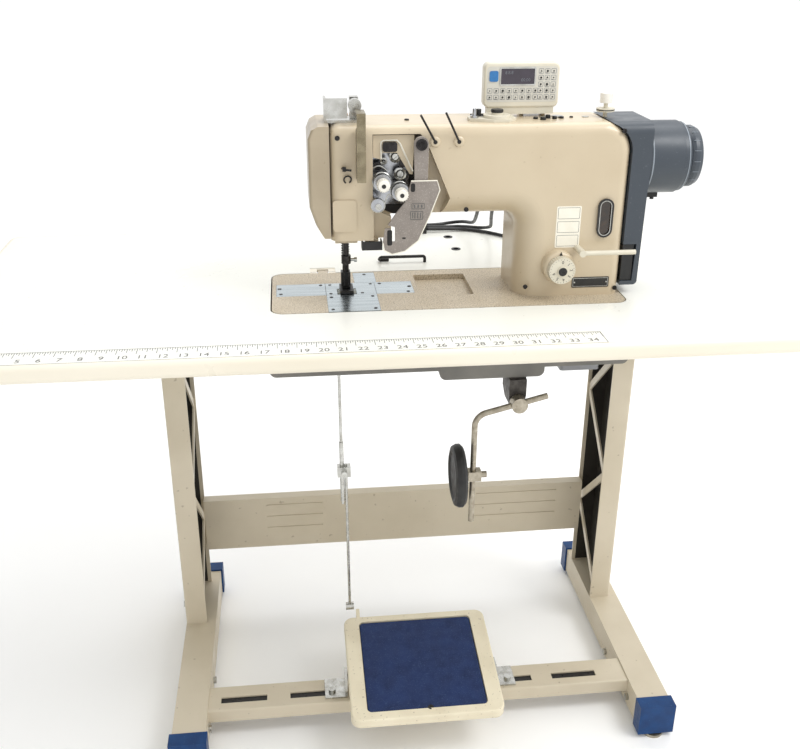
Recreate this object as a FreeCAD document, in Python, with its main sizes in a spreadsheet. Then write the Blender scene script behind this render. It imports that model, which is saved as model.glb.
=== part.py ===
"""Industrial twin-needle lockstitch sewing machine on its table and steel stand.

Millimetres, +Z up, +X towards the handwheel, -Y towards the operator.  The origin is on the floor,
under the middle of the table.  Driving sizes live in the sheet called "sizes"; every feature that
uses one is bound to it by an expression, so a change in the sheet moves what hangs on it.
"""
import FreeCAD, Part
import os
from collections import namedtuple
from math import cos, hypot, radians, sin, tan

import Sketcher
from FreeCAD import Placement, Rotation, Vector

doc = FreeCAD.newDocument("twin_needle_machine")
sheet = doc.addObject("Spreadsheet::Sheet", "sizes")
nodes = {}
TINY = 0.01


# ---------------------------------------------------------------- sizes that carry their formula

def words(value):
    """The sheet formula of a Size, or the plain digits of a number."""
    return value.text if isinstance(value, Size) else "%.10g" % value


def joined(value, left, sign, right):
    return Size(value, "(%s %s %s)" % (words(left), sign, words(right)))


class Size(float):
    """A number that also knows the sheet formula it came from."""

    def __new__(cls, value, text=None):
        number = float.__new__(cls, value)
        number.text = text or "%.10g" % float(value)
        return number

    def __add__(self, other):
        return joined(float(self) + float(other), self, "+", other)

    def __radd__(self, other):
        return joined(float(other) + float(self), other, "+", self)

    def __sub__(self, other):
        return joined(float(self) - float(other), self, "-", other)

    def __rsub__(self, other):
        return joined(float(other) - float(self), other, "-", self)

    def __mul__(self, other):
        return joined(float(self) * float(other), self, "*", other)

    __rmul__ = __mul__

    def __truediv__(self, other):
        return joined(float(self) / float(other), self, "/", other)

    def __neg__(self):
        return joined(-float(self), 0, "-", self)


def sizes(heading, **values):
    """Write a block of named sizes into the sheet and hand them back in order."""
    made = []
    for alias, value in values.items():
        sizes.row += 1
        sheet.set("A%d" % sizes.row, alias)
        sheet.set("B%d" % sizes.row, "%.10g" % value)
        sheet.set("C%d" % sizes.row, heading)
        sheet.setAlias("B%d" % sizes.row, alias)
        made.append(Size(value, "sizes." + alias))
    return made


sizes.row = 0


# ---------------------------------------------------------------- drawing and solid helpers

Disc = namedtuple("Disc", "u v r")
PLANES = {"XY": ("XY_Plane", 1), "XZ": ("XZ_Plane", -1), "YZ": ("YZ_Plane", 1)}


def box(u0, v0, u1, v1):
    return [(u0, v0), (u1, v0), (u1, v1), (u0, v1)]


def pin(sketch, kind, *what):
    """Add one dimension to a sketch and bind it to its formula."""
    value = what[-1]
    number = sketch.addConstraint(Sketcher.Constraint(kind, *what[:-1], float(value)))
    sketch.setExpression("Constraints[%d]" % number, words(value))


def draw(body, plane, at, outlines):
    """A sketch on one of the body's own origin planes, holding closed outlines and discs."""
    role, sign = PLANES[plane]
    sketch = body.newObject("Sketcher::SketchObject", "sketch")
    origin = [f for f in body.Origin.OriginFeatures if f.Role == role][0]
    sketch.AttachmentSupport = [(origin, "")]
    sketch.MapMode = "FlatFace"
    sketch.setExpression("AttachmentOffset.Base.z", words(sign * at))
    for outline in outlines:
        if isinstance(outline, Disc):
            middle = Vector(outline.u, outline.v, 0)
            ring = sketch.addGeometry(Part.Circle(middle, Vector(0, 0, 1), float(outline.r)))
            pin(sketch, "DistanceX", -1, 1, ring, 3, outline.u)
            pin(sketch, "DistanceY", -1, 1, ring, 3, outline.v)
            pin(sketch, "Radius", ring, outline.r)
            continue
        lines = []
        for here, there in zip(outline, outline[1:] + outline[:1]):
            lines.append(sketch.addGeometry(Part.LineSegment(Vector(*here, 0), Vector(*there, 0))))
        for line, following in zip(lines, lines[1:] + lines[:1]):
            sketch.addConstraint(Sketcher.Constraint("Coincident", line, 2, following, 1))
        for line, (u, v) in zip(lines, outline):
            pin(sketch, "DistanceX", -1, 1, line, 1, u)
            pin(sketch, "DistanceY", -1, 1, line, 1, v)
    return sketch


def feature(body, kind, plane, lo, hi, outlines):
    """Pad or pocket the outlines between two heights along the plane's normal."""
    sketch = draw(body, plane, Size(1) * (lo + hi) / 2, outlines)
    made = body.newObject("PartDesign::" + kind, kind.lower())
    made.Profile = sketch
    made.SideType = "Symmetric"
    made.setExpression("Length", words(Size(1) * (hi - lo)))
    before = body.Shape.Volume if kind == "Pocket" else 0
    doc.recompute()
    if kind == "Pocket" and before - body.Shape.Volume < TINY:
        raise ValueError("a pocket in %s cuts nothing" % body.Label)
    return made


def add(body, plane, lo, hi, *outlines):
    return feature(body, "Pad", plane, lo, hi, list(outlines))


def cut(body, plane, lo, hi, *outlines):
    return feature(body, "Pocket", plane, lo, hi, list(outlines))


def near(value, wanted):
    if wanted is None:
        return True
    if isinstance(wanted, tuple):
        return wanted[0] - TINY <= value <= wanted[1] + TINY
    return abs(value - wanted) < TINY


def edges_at(shape, spots):
    """Names of the edges lying wholly at a spot: (x, y, z), each a value, a (low, high) or None."""
    names = []
    for number, edge in enumerate(shape.Edges, 1):
        middle = edge.valueAt((edge.FirstParameter + edge.LastParameter) / 2)
        places = [v.Point for v in edge.Vertexes] + [middle]
        if any(all(near(c, w) for p in places for c, w in zip(p, spot)) for spot in spots):
            names.append("Edge%d" % number)
    return names


def smooth(body, kind, radius, spots):
    """Fillet or chamfer the edges at the given spots."""
    base = body.Tip
    names = edges_at(base.Shape, spots)
    if not names:
        raise ValueError("no edge of %s at %s" % (body.Label, spots))
    made = body.newObject("PartDesign::" + kind, kind.lower())
    made.Base = (base, names)
    made.setExpression("Radius" if kind == "Fillet" else "Size", words(radius))
    doc.recompute()
    if "Invalid" in made.State or "Error" in made.State:
        raise ValueError("%s of %s failed at %s" % (kind, body.Label, spots))


def fillet(body, radius, *spots):
    smooth(body, "Fillet", radius, spots)


def chamfer(body, size, *spots):
    smooth(body, "Chamfer", size, spots)


def body_of(label):
    body = doc.addObject("PartDesign::Body", label)
    body.Label = label
    return body


def node(label, made):
    """Name a finished sub-part; its label is its file name."""
    made.Label = label
    nodes[label] = made
    return made


def slab(label, plane, lo, hi, *outlines):
    """A body that starts as one pad."""
    body = body_of(label)
    add(body, plane, lo, hi, *outlines)
    return node(label, body)


def place(made, x=0.0, y=0.0, z=0.0):
    for side, value in zip("xyz", (x, y, z)):
        made.setExpression(".Placement.Base." + side, words(value))


def turned(label, axis, profile, x=0.0, y=0.0, z=0.0):
    """A body turned about an axis through (x, y, z); the profile's points are (along, radius)."""
    body = body_of(label)
    if axis == "Z":
        sketch = draw(body, "XZ", Size(0), [[(r, a) for a, r in profile]])
    else:
        sketch = draw(body, "XZ" if axis == "X" else "YZ", Size(0), [profile])
    made = body.newObject("PartDesign::Revolution", "turning")
    made.Profile = sketch
    made.ReferenceAxis = (sketch, ["V_Axis" if axis == "Z" else "H_Axis"])
    made.Angle = 360
    place(body, x, y, z)
    doc.recompute()
    return node(label, body)


TURNS = {"X": Rotation(Vector(0, 1, 0), 90), "Y": Rotation(Vector(1, 0, 0), -90), "Z": Rotation()}


def rod(axis, lo, hi, radius, *across):
    """A Part cylinder along an axis, from lo to hi; across is where the axis passes."""
    made = doc.addObject("Part::Cylinder", "rod")
    spot = list(across)
    spot.insert("XYZ".index(axis), lo)
    made.Placement = Placement(Vector(*[float(c) for c in spot]), TURNS[axis])
    place(made, *spot)
    made.setExpression("Radius", words(radius))
    made.setExpression("Height", words(Size(1) * (hi - lo)))
    return made


def block(x0, x1, y0, y1, z0, z1):
    made = doc.addObject("Part::Box", "block")
    place(made, x0, y0, z0)
    for side, lo, hi in (("Length", x0, x1), ("Width", y0, y1), ("Height", z0, z1)):
        made.setExpression(side, words(Size(1) * (hi - lo)))
    return made


def fused(*parts):
    made = doc.addObject("Part::MultiFuse", "joined")
    made.Shapes = list(parts)
    return made


def less(base, *tools):
    """The base with every tool cut out of it."""
    for tool in tools:
        made = doc.addObject("Part::Cut", "drilled")
        made.Base = base
        made.Tool = tool
        base = made
    return base


def group(*parts):
    made = doc.addObject("Part::Compound", "group")
    made.Links = list(parts)
    return made


def bent_wire(points, bend, radius):
    """A round wire along straight runs joined by tangent arcs; bend is the radius at its middle."""
    spots = [Vector(*[float(c) for c in p]) for p in points]
    edges = []
    start = spots[0]
    for before, corner, after in zip(spots, spots[1:], spots[2:]):
        come = (corner - before).normalize()
        go = (after - corner).normalize()
        turn = come.getAngle(go)
        back = bend * tan(turn / 2)
        first = corner - come * back
        last = corner + go * back
        inward = (go - come).normalize()
        middle = corner + inward * (bend / cos(turn / 2) - bend)
        edges.append(Part.LineSegment(start, first).toShape())
        edges.append(Part.Arc(first, middle, last).toShape())
        start = last
    edges.append(Part.LineSegment(start, spots[-1]).toShape())
    path = Part.Wire(edges)
    ring = Part.Wire(Part.Circle(spots[0], spots[1] - spots[0], float(radius)).toShape())
    made = doc.addObject("Part::Feature", "wire")
    made.Shape = path.makePipeShell([ring], True, False)
    made.Placement = Placement()
    return made


# ---------------------------------------------------------------- driving sizes

table_long, table_deep, table_high, table_thick, band_thick, table_corner = sizes(
    "table", table_long=1200, table_deep=600, table_high=750, table_thick=25, band_thick=9, table_corner=22)
bed_left, bed_right, bed_front, bed_back, bed_rim, bed_corner, bed_gap = sizes(
    "bed", bed_left=-139, bed_right=378, bed_front=-143, bed_back=35, bed_rim=12, bed_corner=18, bed_gap=2)
hinge_y, hinge_drop, hinge_left, hinge_right, hinge_pin_r = sizes(
    "bed hinges", hinge_y=44, hinge_drop=5, hinge_left=-60, hinge_right=300, hinge_pin_r=4)
arm_front, arm_back, arm_left, arm_right, arm_low, arm_high, column_left = sizes(
    "arm", arm_front=-106, arm_back=-2, arm_left=-51, arm_right=375, arm_low=872, arm_high=1001,
    column_left=218)
head_low, head_right, arm_wall = sizes("head end", head_low=842, head_right=35, arm_wall=8)
shaft_y, shaft_z, shaft_r = sizes("main shaft", shaft_y=-54, shaft_z=943, shaft_r=7)
lower_y, lower_z, lower_r = sizes("lower shaft", lower_y=-24, lower_z=697, lower_r=6)
needle_x, needle_y, needle_gauge, needle_bar_r = sizes(
    "needles", needle_x=-28, needle_y=-55, needle_gauge=6.4, needle_bar_r=3.6)
presser_y, presser_bar_r = sizes("presser", presser_y=-33, presser_bar_r=4.5)
hook_reach, hook_r, hook_low, hook_high = sizes("hooks", hook_reach=26, hook_r=21, hook_low=714,
                                                hook_high=735)
leg_front, leg_back, left_leg_x, right_leg_x, leg_wide, sheet_thick = sizes(
    "legs", leg_front=67, leg_back=200, left_leg_x=-332, right_leg_x=443, leg_wide=38, sheet_thick=2.5)
foot_front, foot_back, foot_low, foot_high, foot_wide, left_foot_x, right_foot_x = sizes(
    "feet", foot_front=-232, foot_back=248, foot_low=11, foot_high=61, foot_wide=54, left_foot_x=-332,
    right_foot_x=443)
bar_front, bar_back, bar_low, bar_high = sizes(
    "treadle bar", bar_front=-163, bar_back=-105, bar_low=34, bar_high=58)
treadle_left, treadle_right, treadle_reach, treadle_tilt, pivot_y, pivot_z = sizes(
    "treadle", treadle_left=-43, treadle_right=207, treadle_reach=112, treadle_tilt=9, pivot_y=-138,
    pivot_z=88)
rod_low_x, rod_low_z, rod_top_x, rod_top_z, rod_y, rod_r = sizes(
    "pitman rod", rod_low_x=-30, rod_low_z=136, rod_top_x=-40.5, rod_top_z=612, rod_y=-8, rod_r=2.4)
knee_x, knee_z, knee_y, knee_rod_r, knee_pad_r = sizes(
    "knee lifter", knee_x=218, knee_z=604, knee_y=-166, knee_rod_r=4.5, knee_pad_r=48.5)
pan_low, pan_deep_low, pan_flange = sizes("oil pan", pan_low=655, pan_deep_low=640, pan_flange=3)
motor_r, motor_wall, motor_left, motor_right, wheel_r, wheel_right = sizes(
    "motor", motor_r=51, motor_wall=3, motor_left=403, motor_right=466, wheel_r=44, wheel_right=487)
dial_x, dial_z, dial_r, dial_front = sizes("stitch dial", dial_x=277.5, dial_z=798, dial_r=19,
                                           dial_front=-137)
winder_x, winder_y, post_x, panel_left, panel_right, panel_y = sizes(
    "top of the arm", winder_x=190, winder_y=-70, post_x=347, panel_left=171, panel_right=279, panel_y=-20)

RUN = 0.05      # radial clearance of a turning or sliding fit
AIR = 0.4       # gap between moving neighbours that do not fit in each other
table_under = table_high - table_thick
bed_under = table_high - bed_rim
hinge_z = table_high - hinge_drop


# ---------------------------------------------------------------- table

cut_left, cut_right = bed_left - bed_gap, bed_right + bed_gap
cut_front, cut_back = bed_front - bed_gap, bed_back + bed_gap
half_long, half_deep = table_long / 2, table_deep / 2
in_long, in_deep = half_long - band_thick, half_deep - band_thick
THREAD_STAND_HOLES = [(169, 219), (171, 145)]
thread_hole_r = 6

table_top = slab("table_top", "XY", table_under, table_high, box(-in_long, -in_deep, in_long, in_deep))
fillet(table_top, table_corner - band_thick, *[(sx * in_long, sy * in_deep, None) for sx in (-1,
    1) for sy in (-1, 1)])
cut(table_top, "XY", table_under - 1, table_high + 1, box(cut_left, cut_front, cut_right, cut_back))
fillet(table_top, bed_corner + bed_gap, (cut_left, cut_front, None), (cut_right, cut_front, None),
       (cut_left, cut_back, None), (cut_right, cut_back, None))
cup_half, cup_back, cup_low = 20, 62, 14.5
cut(table_top, "XY", hinge_z - cup_low, table_high + 1,
    *[box(x - cup_half, cut_back - 1, x + cup_half, cup_back) for x in (hinge_left, hinge_right)])
cable_x, cable_y, cable_hole_r = 116, 263, 14
cut(table_top, "XY", table_under - 1, table_high + 1, *[Disc(x, y, thread_hole_r) for x,
                                                        y in THREAD_STAND_HOLES])
cut(table_top, "XY", table_under - 1, table_high + 1, Disc(cable_x, cable_y, cable_hole_r))

band = slab("table_edge_band", "XY", table_under, table_high, box(-half_long, -half_deep, half_long,
    half_deep))
fillet(band, table_corner, *[(sx * half_long, sy * half_deep, None) for sx in (-1, 1) for sy in (-1, 1)])
cut(band, "XY", table_under - 1, table_high + 1, box(-in_long, -in_deep, in_long, in_deep))
fillet(band, table_corner - band_thick,
       *[(sx * in_long, sy * in_deep, None) for sx in (-1, 1) for sy in (-1, 1)])
fillet(band, band_thick - 1, (None, -half_deep, table_under), (None, -half_deep, table_high))

staple_left, staple_right, staple_y, staple_r = 36, 108, 78, 2.5
staple_top = table_high + 10
node("wire_staple", bent_wire([(staple_left + 14, staple_y + 10, table_high + staple_r),
                               (staple_left - 3, staple_y + 10, table_high + staple_r),
                               (staple_left, staple_y, staple_top),
                               (staple_right, staple_y, staple_top),
                               (staple_right, staple_y, table_high - 12)], 3.6, staple_r))
cut(table_top, "XY", table_high - 14, table_high + 1, Disc(staple_right, staple_y, staple_r + RUN))


# ---------------------------------------------------------------- steel stand

plate_out = 14


def leg(label, outer_x, inward):
    """A leg channel open towards the machine, with a zigzag of strips and a top plate welded on."""
    mouth_x = outer_x + inward * leg_wide
    body = slab(label, "XY", foot_high, table_under - 4, box(outer_x, leg_front, mouth_x, leg_back))
    inner = box(outer_x + inward * sheet_thick, leg_front + sheet_thick, mouth_x + inward,
                leg_back - sheet_thick)
    cut(body, "XY", foot_high - 1, table_under, inner)
    corners = [(outer_x, y, None) for y in (leg_front, leg_back)]
    fillet(body, sheet_thick * 1.6, *corners)
    strip_x = sorted([mouth_x - inward * 6, mouth_x - inward * 3])
    levels = 5
    rise = (table_under - foot_high - 60) / levels
    half = 9
    for level in range(levels):
        low = foot_high + 30 + rise * level
        ends = (leg_front + sheet_thick, leg_back - sheet_thick)
        start, end = ends if level % 2 == 0 else ends[::-1]
        add(body, "YZ", strip_x[0], strip_x[1],
            [(start, low - half), (end, low + rise - half), (end, low + rise + half), (start, low + half)])
    edges = sorted([outer_x - inward * plate_out, mouth_x + inward * plate_out])
    add(body, "XY", table_under - 4, table_under, box(edges[0], leg_front - 90, edges[1], leg_back + 40))
    return body


leg("left_leg", left_leg_x, 1)
leg("right_leg", right_leg_x + leg_wide, -1)

def foot_bar(x):
    """A rectangular tube, open at its ends."""
    return less(block(x, x + foot_wide, foot_front, foot_back, foot_low, foot_high),
                block(x + 2.5, x + foot_wide - 2.5, foot_front - 1, foot_back + 1, foot_low + 2.5,
                      foot_high - 2.5))


foot_left_edges = (left_foot_x, right_foot_x)
node("foot_bars", group(*[foot_bar(x) for x in foot_left_edges]))

cap_deep, cap_proud = 18, 3.5


def foot_cap(x, end_y, outward):
    """A plastic shoe over the end of a foot bar, with a closed nose."""
    tip = end_y + outward * 8
    heel = end_y - outward * cap_deep
    lo, hi = min(tip, heel), max(tip, heel)
    shoe = block(x - cap_proud, x + foot_wide + cap_proud, lo, hi, foot_low - 3, foot_high + cap_proud)
    hollow_lo, hollow_hi = (lo - 1, end_y) if outward > 0 else (end_y, hi + 1)
    return less(shoe, block(x, x + foot_wide, hollow_lo, hollow_hi, foot_low, foot_high))


GLIDE_INSET = 14
node("foot_caps", group(*[foot_cap(x, y, outward) for x in foot_left_edges
                          for y, outward in ((foot_front, -1), (foot_back, 1))]))
node("levelling_glides", group(*[fused(rod("Z", 0, 5, 17, x + foot_wide / 2, y),
                                       rod("Z", 5, foot_low - 3, 8, x + foot_wide / 2, y))
                                 for x in foot_left_edges
                                 for y in (foot_front + GLIDE_INSET - 8, foot_back - GLIDE_INSET + 8)]))

beam_low, beam_high, beam_y, beam_lip = 150, 258, 176, 20
beam_left, beam_right = left_leg_x + leg_wide, right_leg_x
beam = slab("rear_crossbeam", "YZ", beam_left, beam_right, box(beam_y, beam_low, beam_y + beam_lip,
                                                               beam_high))
cut(beam, "YZ", beam_left - 1, beam_right + 1,
    box(beam_y + 2, beam_low + 2, beam_y + beam_lip + 1, beam_high - 2))
rib_half, rib_levels = 4.5, (189, 214, 239)
for rib_left, rib_right in ((-176, -69), (226, 391)):
    add(beam, "XZ", beam_y - 1.5, beam_y + 1,
        *[box(rib_left, level - rib_half, rib_right, level + rib_half) for level in rib_levels])

bar_left, bar_right = left_foot_x + foot_wide, right_foot_x
treadle_bar = slab("treadle_bar", "YZ", bar_left, bar_right, box(bar_front, bar_low, bar_back, bar_high))
cut(treadle_bar, "YZ", bar_left - 1, bar_right + 1, box(bar_front + 2.5, bar_low - 1, bar_back - 2.5,
                                                        bar_high - 2.5))
slot_y, slot_half = -139, 7
cut(treadle_bar, "XY", bar_high - 5, bar_high + 1,
    *[box(lo, slot_y - slot_half, hi, slot_y + slot_half)
      for lo, hi in ((-257, -180), (-141, -60), (247, 277), (313, 391))])
fillet(treadle_bar, 3, (None, bar_front, bar_high), (None, bar_back, bar_high))

lug_gap, lug_thick, lug_foot = 1.0, 4, 34
lug_left = treadle_left - lug_gap - lug_thick
lug_right = treadle_right + lug_gap + lug_thick


def treadle_bracket(outer, side):
    """A chrome angle: foot on the bar, ear beside the treadle with the pivot pin through it."""
    inner = outer - side * lug_thick
    foot_end = outer + side * lug_foot
    foot = block(min(inner, foot_end), max(inner, foot_end), bar_front + 8, bar_back - 4, bar_high,
                 bar_high + 3)
    ear = block(min(inner, outer), max(inner, outer), pivot_y - 12, pivot_y + 12, bar_high, pivot_z + 10)
    pin_end = inner - side * 14
    return fused(foot, ear, rod("X", min(pin_end, outer), max(pin_end, outer), 4, pivot_y, pivot_z))


node("treadle_brackets", group(treadle_bracket(lug_left, -1), treadle_bracket(lug_right, 1)))

bolt_r, bolt_head = 6, 5
bolts = []
for x in (lug_left - 22, lug_right + 22):
    bolts.append(rod("Z", bar_high + 3, bar_high + 3 + bolt_head, bolt_r, x, slot_y))
for y, z in ((-46, foot_low + 11), (bar_front - 8, foot_low + 17)):
    bolts += [rod("X", bar_left, bar_left + bolt_head, bolt_r, y, z),
              rod("X", bar_right - bolt_head, bar_right, bolt_r, y, z)]
for x, outward in ((left_leg_x, -1), (right_leg_x + leg_wide, 1)):
    for y in (leg_front + 30, leg_back - 30):
        for z in (foot_high + 24, table_under - 40):
            bolts.append(rod("X", min(x, x + outward * bolt_head), max(x, x + outward * bolt_head), bolt_r, y,
                             z))
node("stand_bolts", group(*bolts))


# ---------------------------------------------------------------- under the table

pan_left, pan_right, pan_front, pan_back = cut_left - 5, cut_right + 5, cut_front - 5, cut_back + 3
deep_left, deep_right, deep_back = 101, 258, -40
pan_top = table_under - pan_flange
pan = slab("oil_pan", "XY", pan_top, table_under, box(pan_left - 14, pan_front - 14, pan_right + 14,
                                                      pan_back + 14))
add(pan, "XY", pan_low, pan_top, box(pan_left, pan_front, pan_right, pan_back))
add(pan, "XY", pan_deep_low, pan_low, box(deep_left, pan_front, deep_right, deep_back))
fillet(pan, 10, (pan_left, None, pan_low), (pan_right, None, pan_low), (deep_right, None, pan_deep_low),
       (deep_left, None, pan_deep_low))
cut(pan, "XY", pan_low + 2, table_under + 1, box(pan_left + 2, pan_front + 2, pan_right - 2, pan_back - 2))
cut(pan, "XY", pan_deep_low + 2, pan_low + 3, box(deep_left + 10, pan_front + 2, deep_right - 10,
                                                  deep_back - 2))

bracket_half = 13
knee_bracket = slab("knee_bracket", "XZ", knee_y + 10, pan_front + 40,
                    [(knee_x - bracket_half, pan_deep_low), (knee_x - bracket_half, knee_z + 8),
                     (knee_x - 9, knee_z - 12), (knee_x + 9, knee_z - 12),
                     (knee_x + bracket_half, knee_z + 8), (knee_x + bracket_half, pan_deep_low)])
cut(knee_bracket, "XZ", knee_y, pan_front + 60, Disc(knee_x, knee_z, 6 + RUN))
cut(knee_bracket, "XZ", knee_y, pan_front, box(knee_x - 40, pan_deep_low - 2, knee_x + 40, pan_deep_low + 5))


def power_box(x0, x1, y0, y1, z0, z1):
    """The motor driver: a finned case hung under the table."""
    body = slab("control_box", "XY", z0, z1, box(x0, y0, x1, y1))
    fillet(body, 6, (x0, y0, None), (x1, y0, None), (x0, y1, None), (x1, y1, None))
    fin_pitch = 12
    cut(body, "YZ", x0 - 1, x0 + 3, *[box(y0 + 18 + fin_pitch * k, z0 + 12, y0 + 23 + fin_pitch * k, z1 - 12)
                                     for k in range(int((y1 - y0 - 36) / fin_pitch))])
    return body


power_box(350, 420, 76, 206, 545, table_under)

lever_y, lever_z = 74, 660
unit_left, unit_right = rod_top_x - 50, rod_top_x - 14
speed_unit = slab("speed_unit", "XY", lever_z - 26, table_under, box(unit_left, lever_y - 8, unit_right,
    lever_y + 70))
fillet(speed_unit, 5, (unit_left, lever_y - 8, None), (unit_right, lever_y - 8, None))
add(speed_unit, "YZ", unit_right, unit_right + 22, Disc(lever_y + 14, lever_z, 5))
pedal_y = lever_y + 14
lever_half = 4
pedal_lever = slab("pedal_lever", "YZ", rod_top_x - lever_half, rod_top_x + lever_half,
                   [(rod_y - 8, rod_top_z - 7), (rod_y + 8, rod_top_z - 7), (pedal_y + 6, lever_z - 11),
                    (pedal_y + 11, lever_z), (pedal_y + 6, lever_z + 11), (pedal_y - 6, lever_z + 11),
                    (pedal_y - 18, lever_z - 4), (rod_y - 8, rod_top_z + 3)])
cut(pedal_lever, "YZ", rod_top_x - 9, rod_top_x + 9, Disc(pedal_y, lever_z, 5 + RUN))


# ---------------------------------------------------------------- treadle and pitman rod

treadle_deep = 18
treadle_left_in, treadle_right_in = treadle_left + 26, treadle_right - 26
front_v, back_v = -treadle_reach, treadle_reach - 4
pivot_rise = 16
treadle_z = pivot_z + pivot_rise


def tipped(body):
    """Lay a treadle piece, drawn flat about the pivot, at its resting slope."""
    body.Placement = Placement(Vector(0, float(pivot_y), float(treadle_z)),
                               Rotation(Vector(1, 0, 0), float(treadle_tilt)))
    place(body, 0, pivot_y, treadle_z)


treadle = slab("treadle", "XY", -treadle_deep / 2, treadle_deep / 2, box(treadle_left, front_v, treadle_right,
    back_v))
fillet(treadle, 16, *[(x, v, None) for x in (treadle_left, treadle_right) for v in (front_v, back_v)])
cut(treadle, "XY", 2, treadle_deep, box(treadle_left_in, front_v + 15, treadle_right_in, back_v - 13))
fillet(treadle, 8, *[(x, v, None) for x in (treadle_left_in, treadle_right_in) for v in (front_v + 15,
    back_v - 13)])
cut(treadle, "XY", -treadle_deep, -5, box(treadle_left_in - 8, front_v + 7, treadle_right_in + 8, back_v - 6))
fillet(treadle, 3, (treadle_left, (front_v, back_v), treadle_deep / 2))
for x in (treadle_left, treadle_right - 16):
    add(treadle, "YZ", x, x + 16, box(-11, -24, 11, -treadle_deep / 2 + 2))
slope = radians(treadle_tilt)
cut(treadle, "YZ", treadle_left - 1, treadle_right + 1,
    Disc(-pivot_rise * sin(slope), -pivot_rise * cos(slope), 4 + RUN))
add(treadle, "YZ", rod_low_x + 10, rod_low_x + 16,
    [(back_v - 6, -6), (back_v + 12, 4), (back_v + 12, 16), (back_v - 6, 8)])
tipped(treadle)

mat_top = 7
mat = slab("treadle_mat", "XY", 2, mat_top, box(treadle_left_in + 1, front_v + 16, treadle_right_in - 1,
                                                back_v - 14))
fillet(mat, 7, *[(x, v, None) for x in (treadle_left_in + 1, treadle_right_in - 1) for v in (front_v + 16,
    back_v - 14)])
fillet(mat, 1.5, (treadle_left_in + 1, None, mat_top), (treadle_right_in - 1, None, mat_top))
tipped(mat)

sleeve_r = 3.5
rod_aside = -float(rod_r) - sleeve_r - 0.5
lean = (rod_top_x - rod_aside - rod_low_x) / (rod_top_z - rod_low_z)


def rod_x(z):
    return rod_low_x + lean * (z - rod_low_z)


def lean_rod(z0, z1, radius, aside=0.0):
    """A cylinder along the leaning line of the pitman rod."""
    made = doc.addObject("Part::Cylinder", "rod")
    made.Placement = Placement(Vector(float(rod_x(z0)) + aside, float(rod_y), float(z0)),
                               Rotation(Vector(0, 0, 1), Vector(float(lean), 0, 1)))
    made.setExpression("Radius", words(radius))
    made.Height = float(z1 - z0) * hypot(1, float(lean))
    return made


overlap_low, overlap_high, sleeve_high = 357, 428, 470
pitman_parts = [
    fused(lean_rod(rod_low_z, overlap_high, rod_r), rod("X", rod_low_x - 7, rod_low_x + 7, 7, rod_y,
                                                        rod_low_z)),
    fused(lean_rod(overlap_low - 6, rod_top_z - 14, rod_r, rod_aside),
          lean_rod(overlap_low, sleeve_high, sleeve_r, rod_aside),
          block(rod_top_x - 12, rod_top_x + 12, rod_y - 6, rod_y + 6, rod_top_z - 18, rod_top_z - 11))]
clamp_z = 416
clamp_x = rod_x(clamp_z) + rod_aside / 2
clamp_block = less(block(clamp_x - 11, clamp_x + 11, rod_y - 8, rod_y + 7, clamp_z - 9, clamp_z + 9),
                   lean_rod(clamp_z - 12, clamp_z + 12, rod_r + RUN),
                   lean_rod(clamp_z - 12, clamp_z + 12, sleeve_r + RUN, rod_aside))
pitman_parts.append(fused(clamp_block, rod("Y", rod_y - 16, rod_y - 8, 5, clamp_x, clamp_z)))
node("pitman_rods", group(*pitman_parts))


# ---------------------------------------------------------------- knee lifter

knee_bend_x, knee_bend_z, knee_end_z, knee_tail = 153, 587, 405, 43
knee_slope = (knee_z - knee_bend_z) / (knee_x - knee_bend_x)
knee_wire = bent_wire([(knee_x + knee_tail, knee_y, knee_z + knee_slope * knee_tail),
                       (knee_bend_x, knee_y, knee_bend_z), (knee_bend_x, knee_y, knee_end_z)], 22, knee_rod_r)
knee_arm = fused(knee_wire, rod("Y", knee_y - 9, pan_front + 30, 6, knee_x, knee_z),
                 rod("Y", knee_y - 9, knee_y + 8, 12, knee_x, knee_z))
pad_z, pad_x = 487, 129
turned("knee_pad", "X", [(pad_x - 5, 0), (pad_x - 5, knee_pad_r - 16), (pad_x - 8, knee_pad_r - 10),
                         (pad_x - 6, knee_pad_r - 3), (pad_x, knee_pad_r),
                               (pad_x + 5, knee_pad_r), (pad_x + 9, knee_pad_r - 4), (pad_x + 9, 0)],
                               y=knee_y, z=pad_z)
clamp_right = knee_bend_x + 12
pad_clamp = less(fused(block(knee_bend_x - 8, clamp_right, knee_y - 8, knee_y + 8, pad_z - 8, pad_z + 8),
                       rod("X", pad_x + 9, knee_bend_x - 7, 7, knee_y, pad_z),
                       rod("X", clamp_right, clamp_right + 9, 5, knee_y, pad_z)),
                 rod("Z", pad_z - 12, pad_z + 12, knee_rod_r, knee_bend_x, knee_y))
node("knee_rod", group(knee_arm, pad_clamp))


# ---------------------------------------------------------------- bed

well_left, well_right, strip_front, strip_back = -133, 73, -71, -17
mid_left, mid_right, plate_thick = -59, 16, 3
plate_low = table_high - plate_thick
bed_low = 690
inset = 18
bed = slab("bed_casting", "XY", bed_under, table_high, box(bed_left, bed_front, bed_right, bed_back))
fillet(bed, bed_corner, *[(x, y, None) for x in (bed_left, bed_right) for y in (bed_front, bed_back)])
under_left, under_right, under_front, under_back = bed_left + 12, bed_right - 12, bed_front + inset, bed_back - 11
add(bed, "XY", bed_low, bed_under, box(under_left, under_front, under_right, under_back))
cut(bed, "XY", bed_low - 1, bed_under, box(under_left + 6, under_front + 6, under_right - 6, under_back - 6))
cut(bed, "XY", plate_low, table_high + 1, box(well_left, strip_front, well_right, strip_back))
cut(bed, "XY", plate_low, table_high + 1, box(mid_left, bed_front - 1, mid_right, strip_front + 1))
cut(bed, "XY", plate_low, table_high + 1, box(-14, strip_back - 1, 20, bed_back - 3))
cut(bed, "XY", bed_low, table_high + 1, box(-100, strip_front + 2, 44, strip_back - 5))
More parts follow.
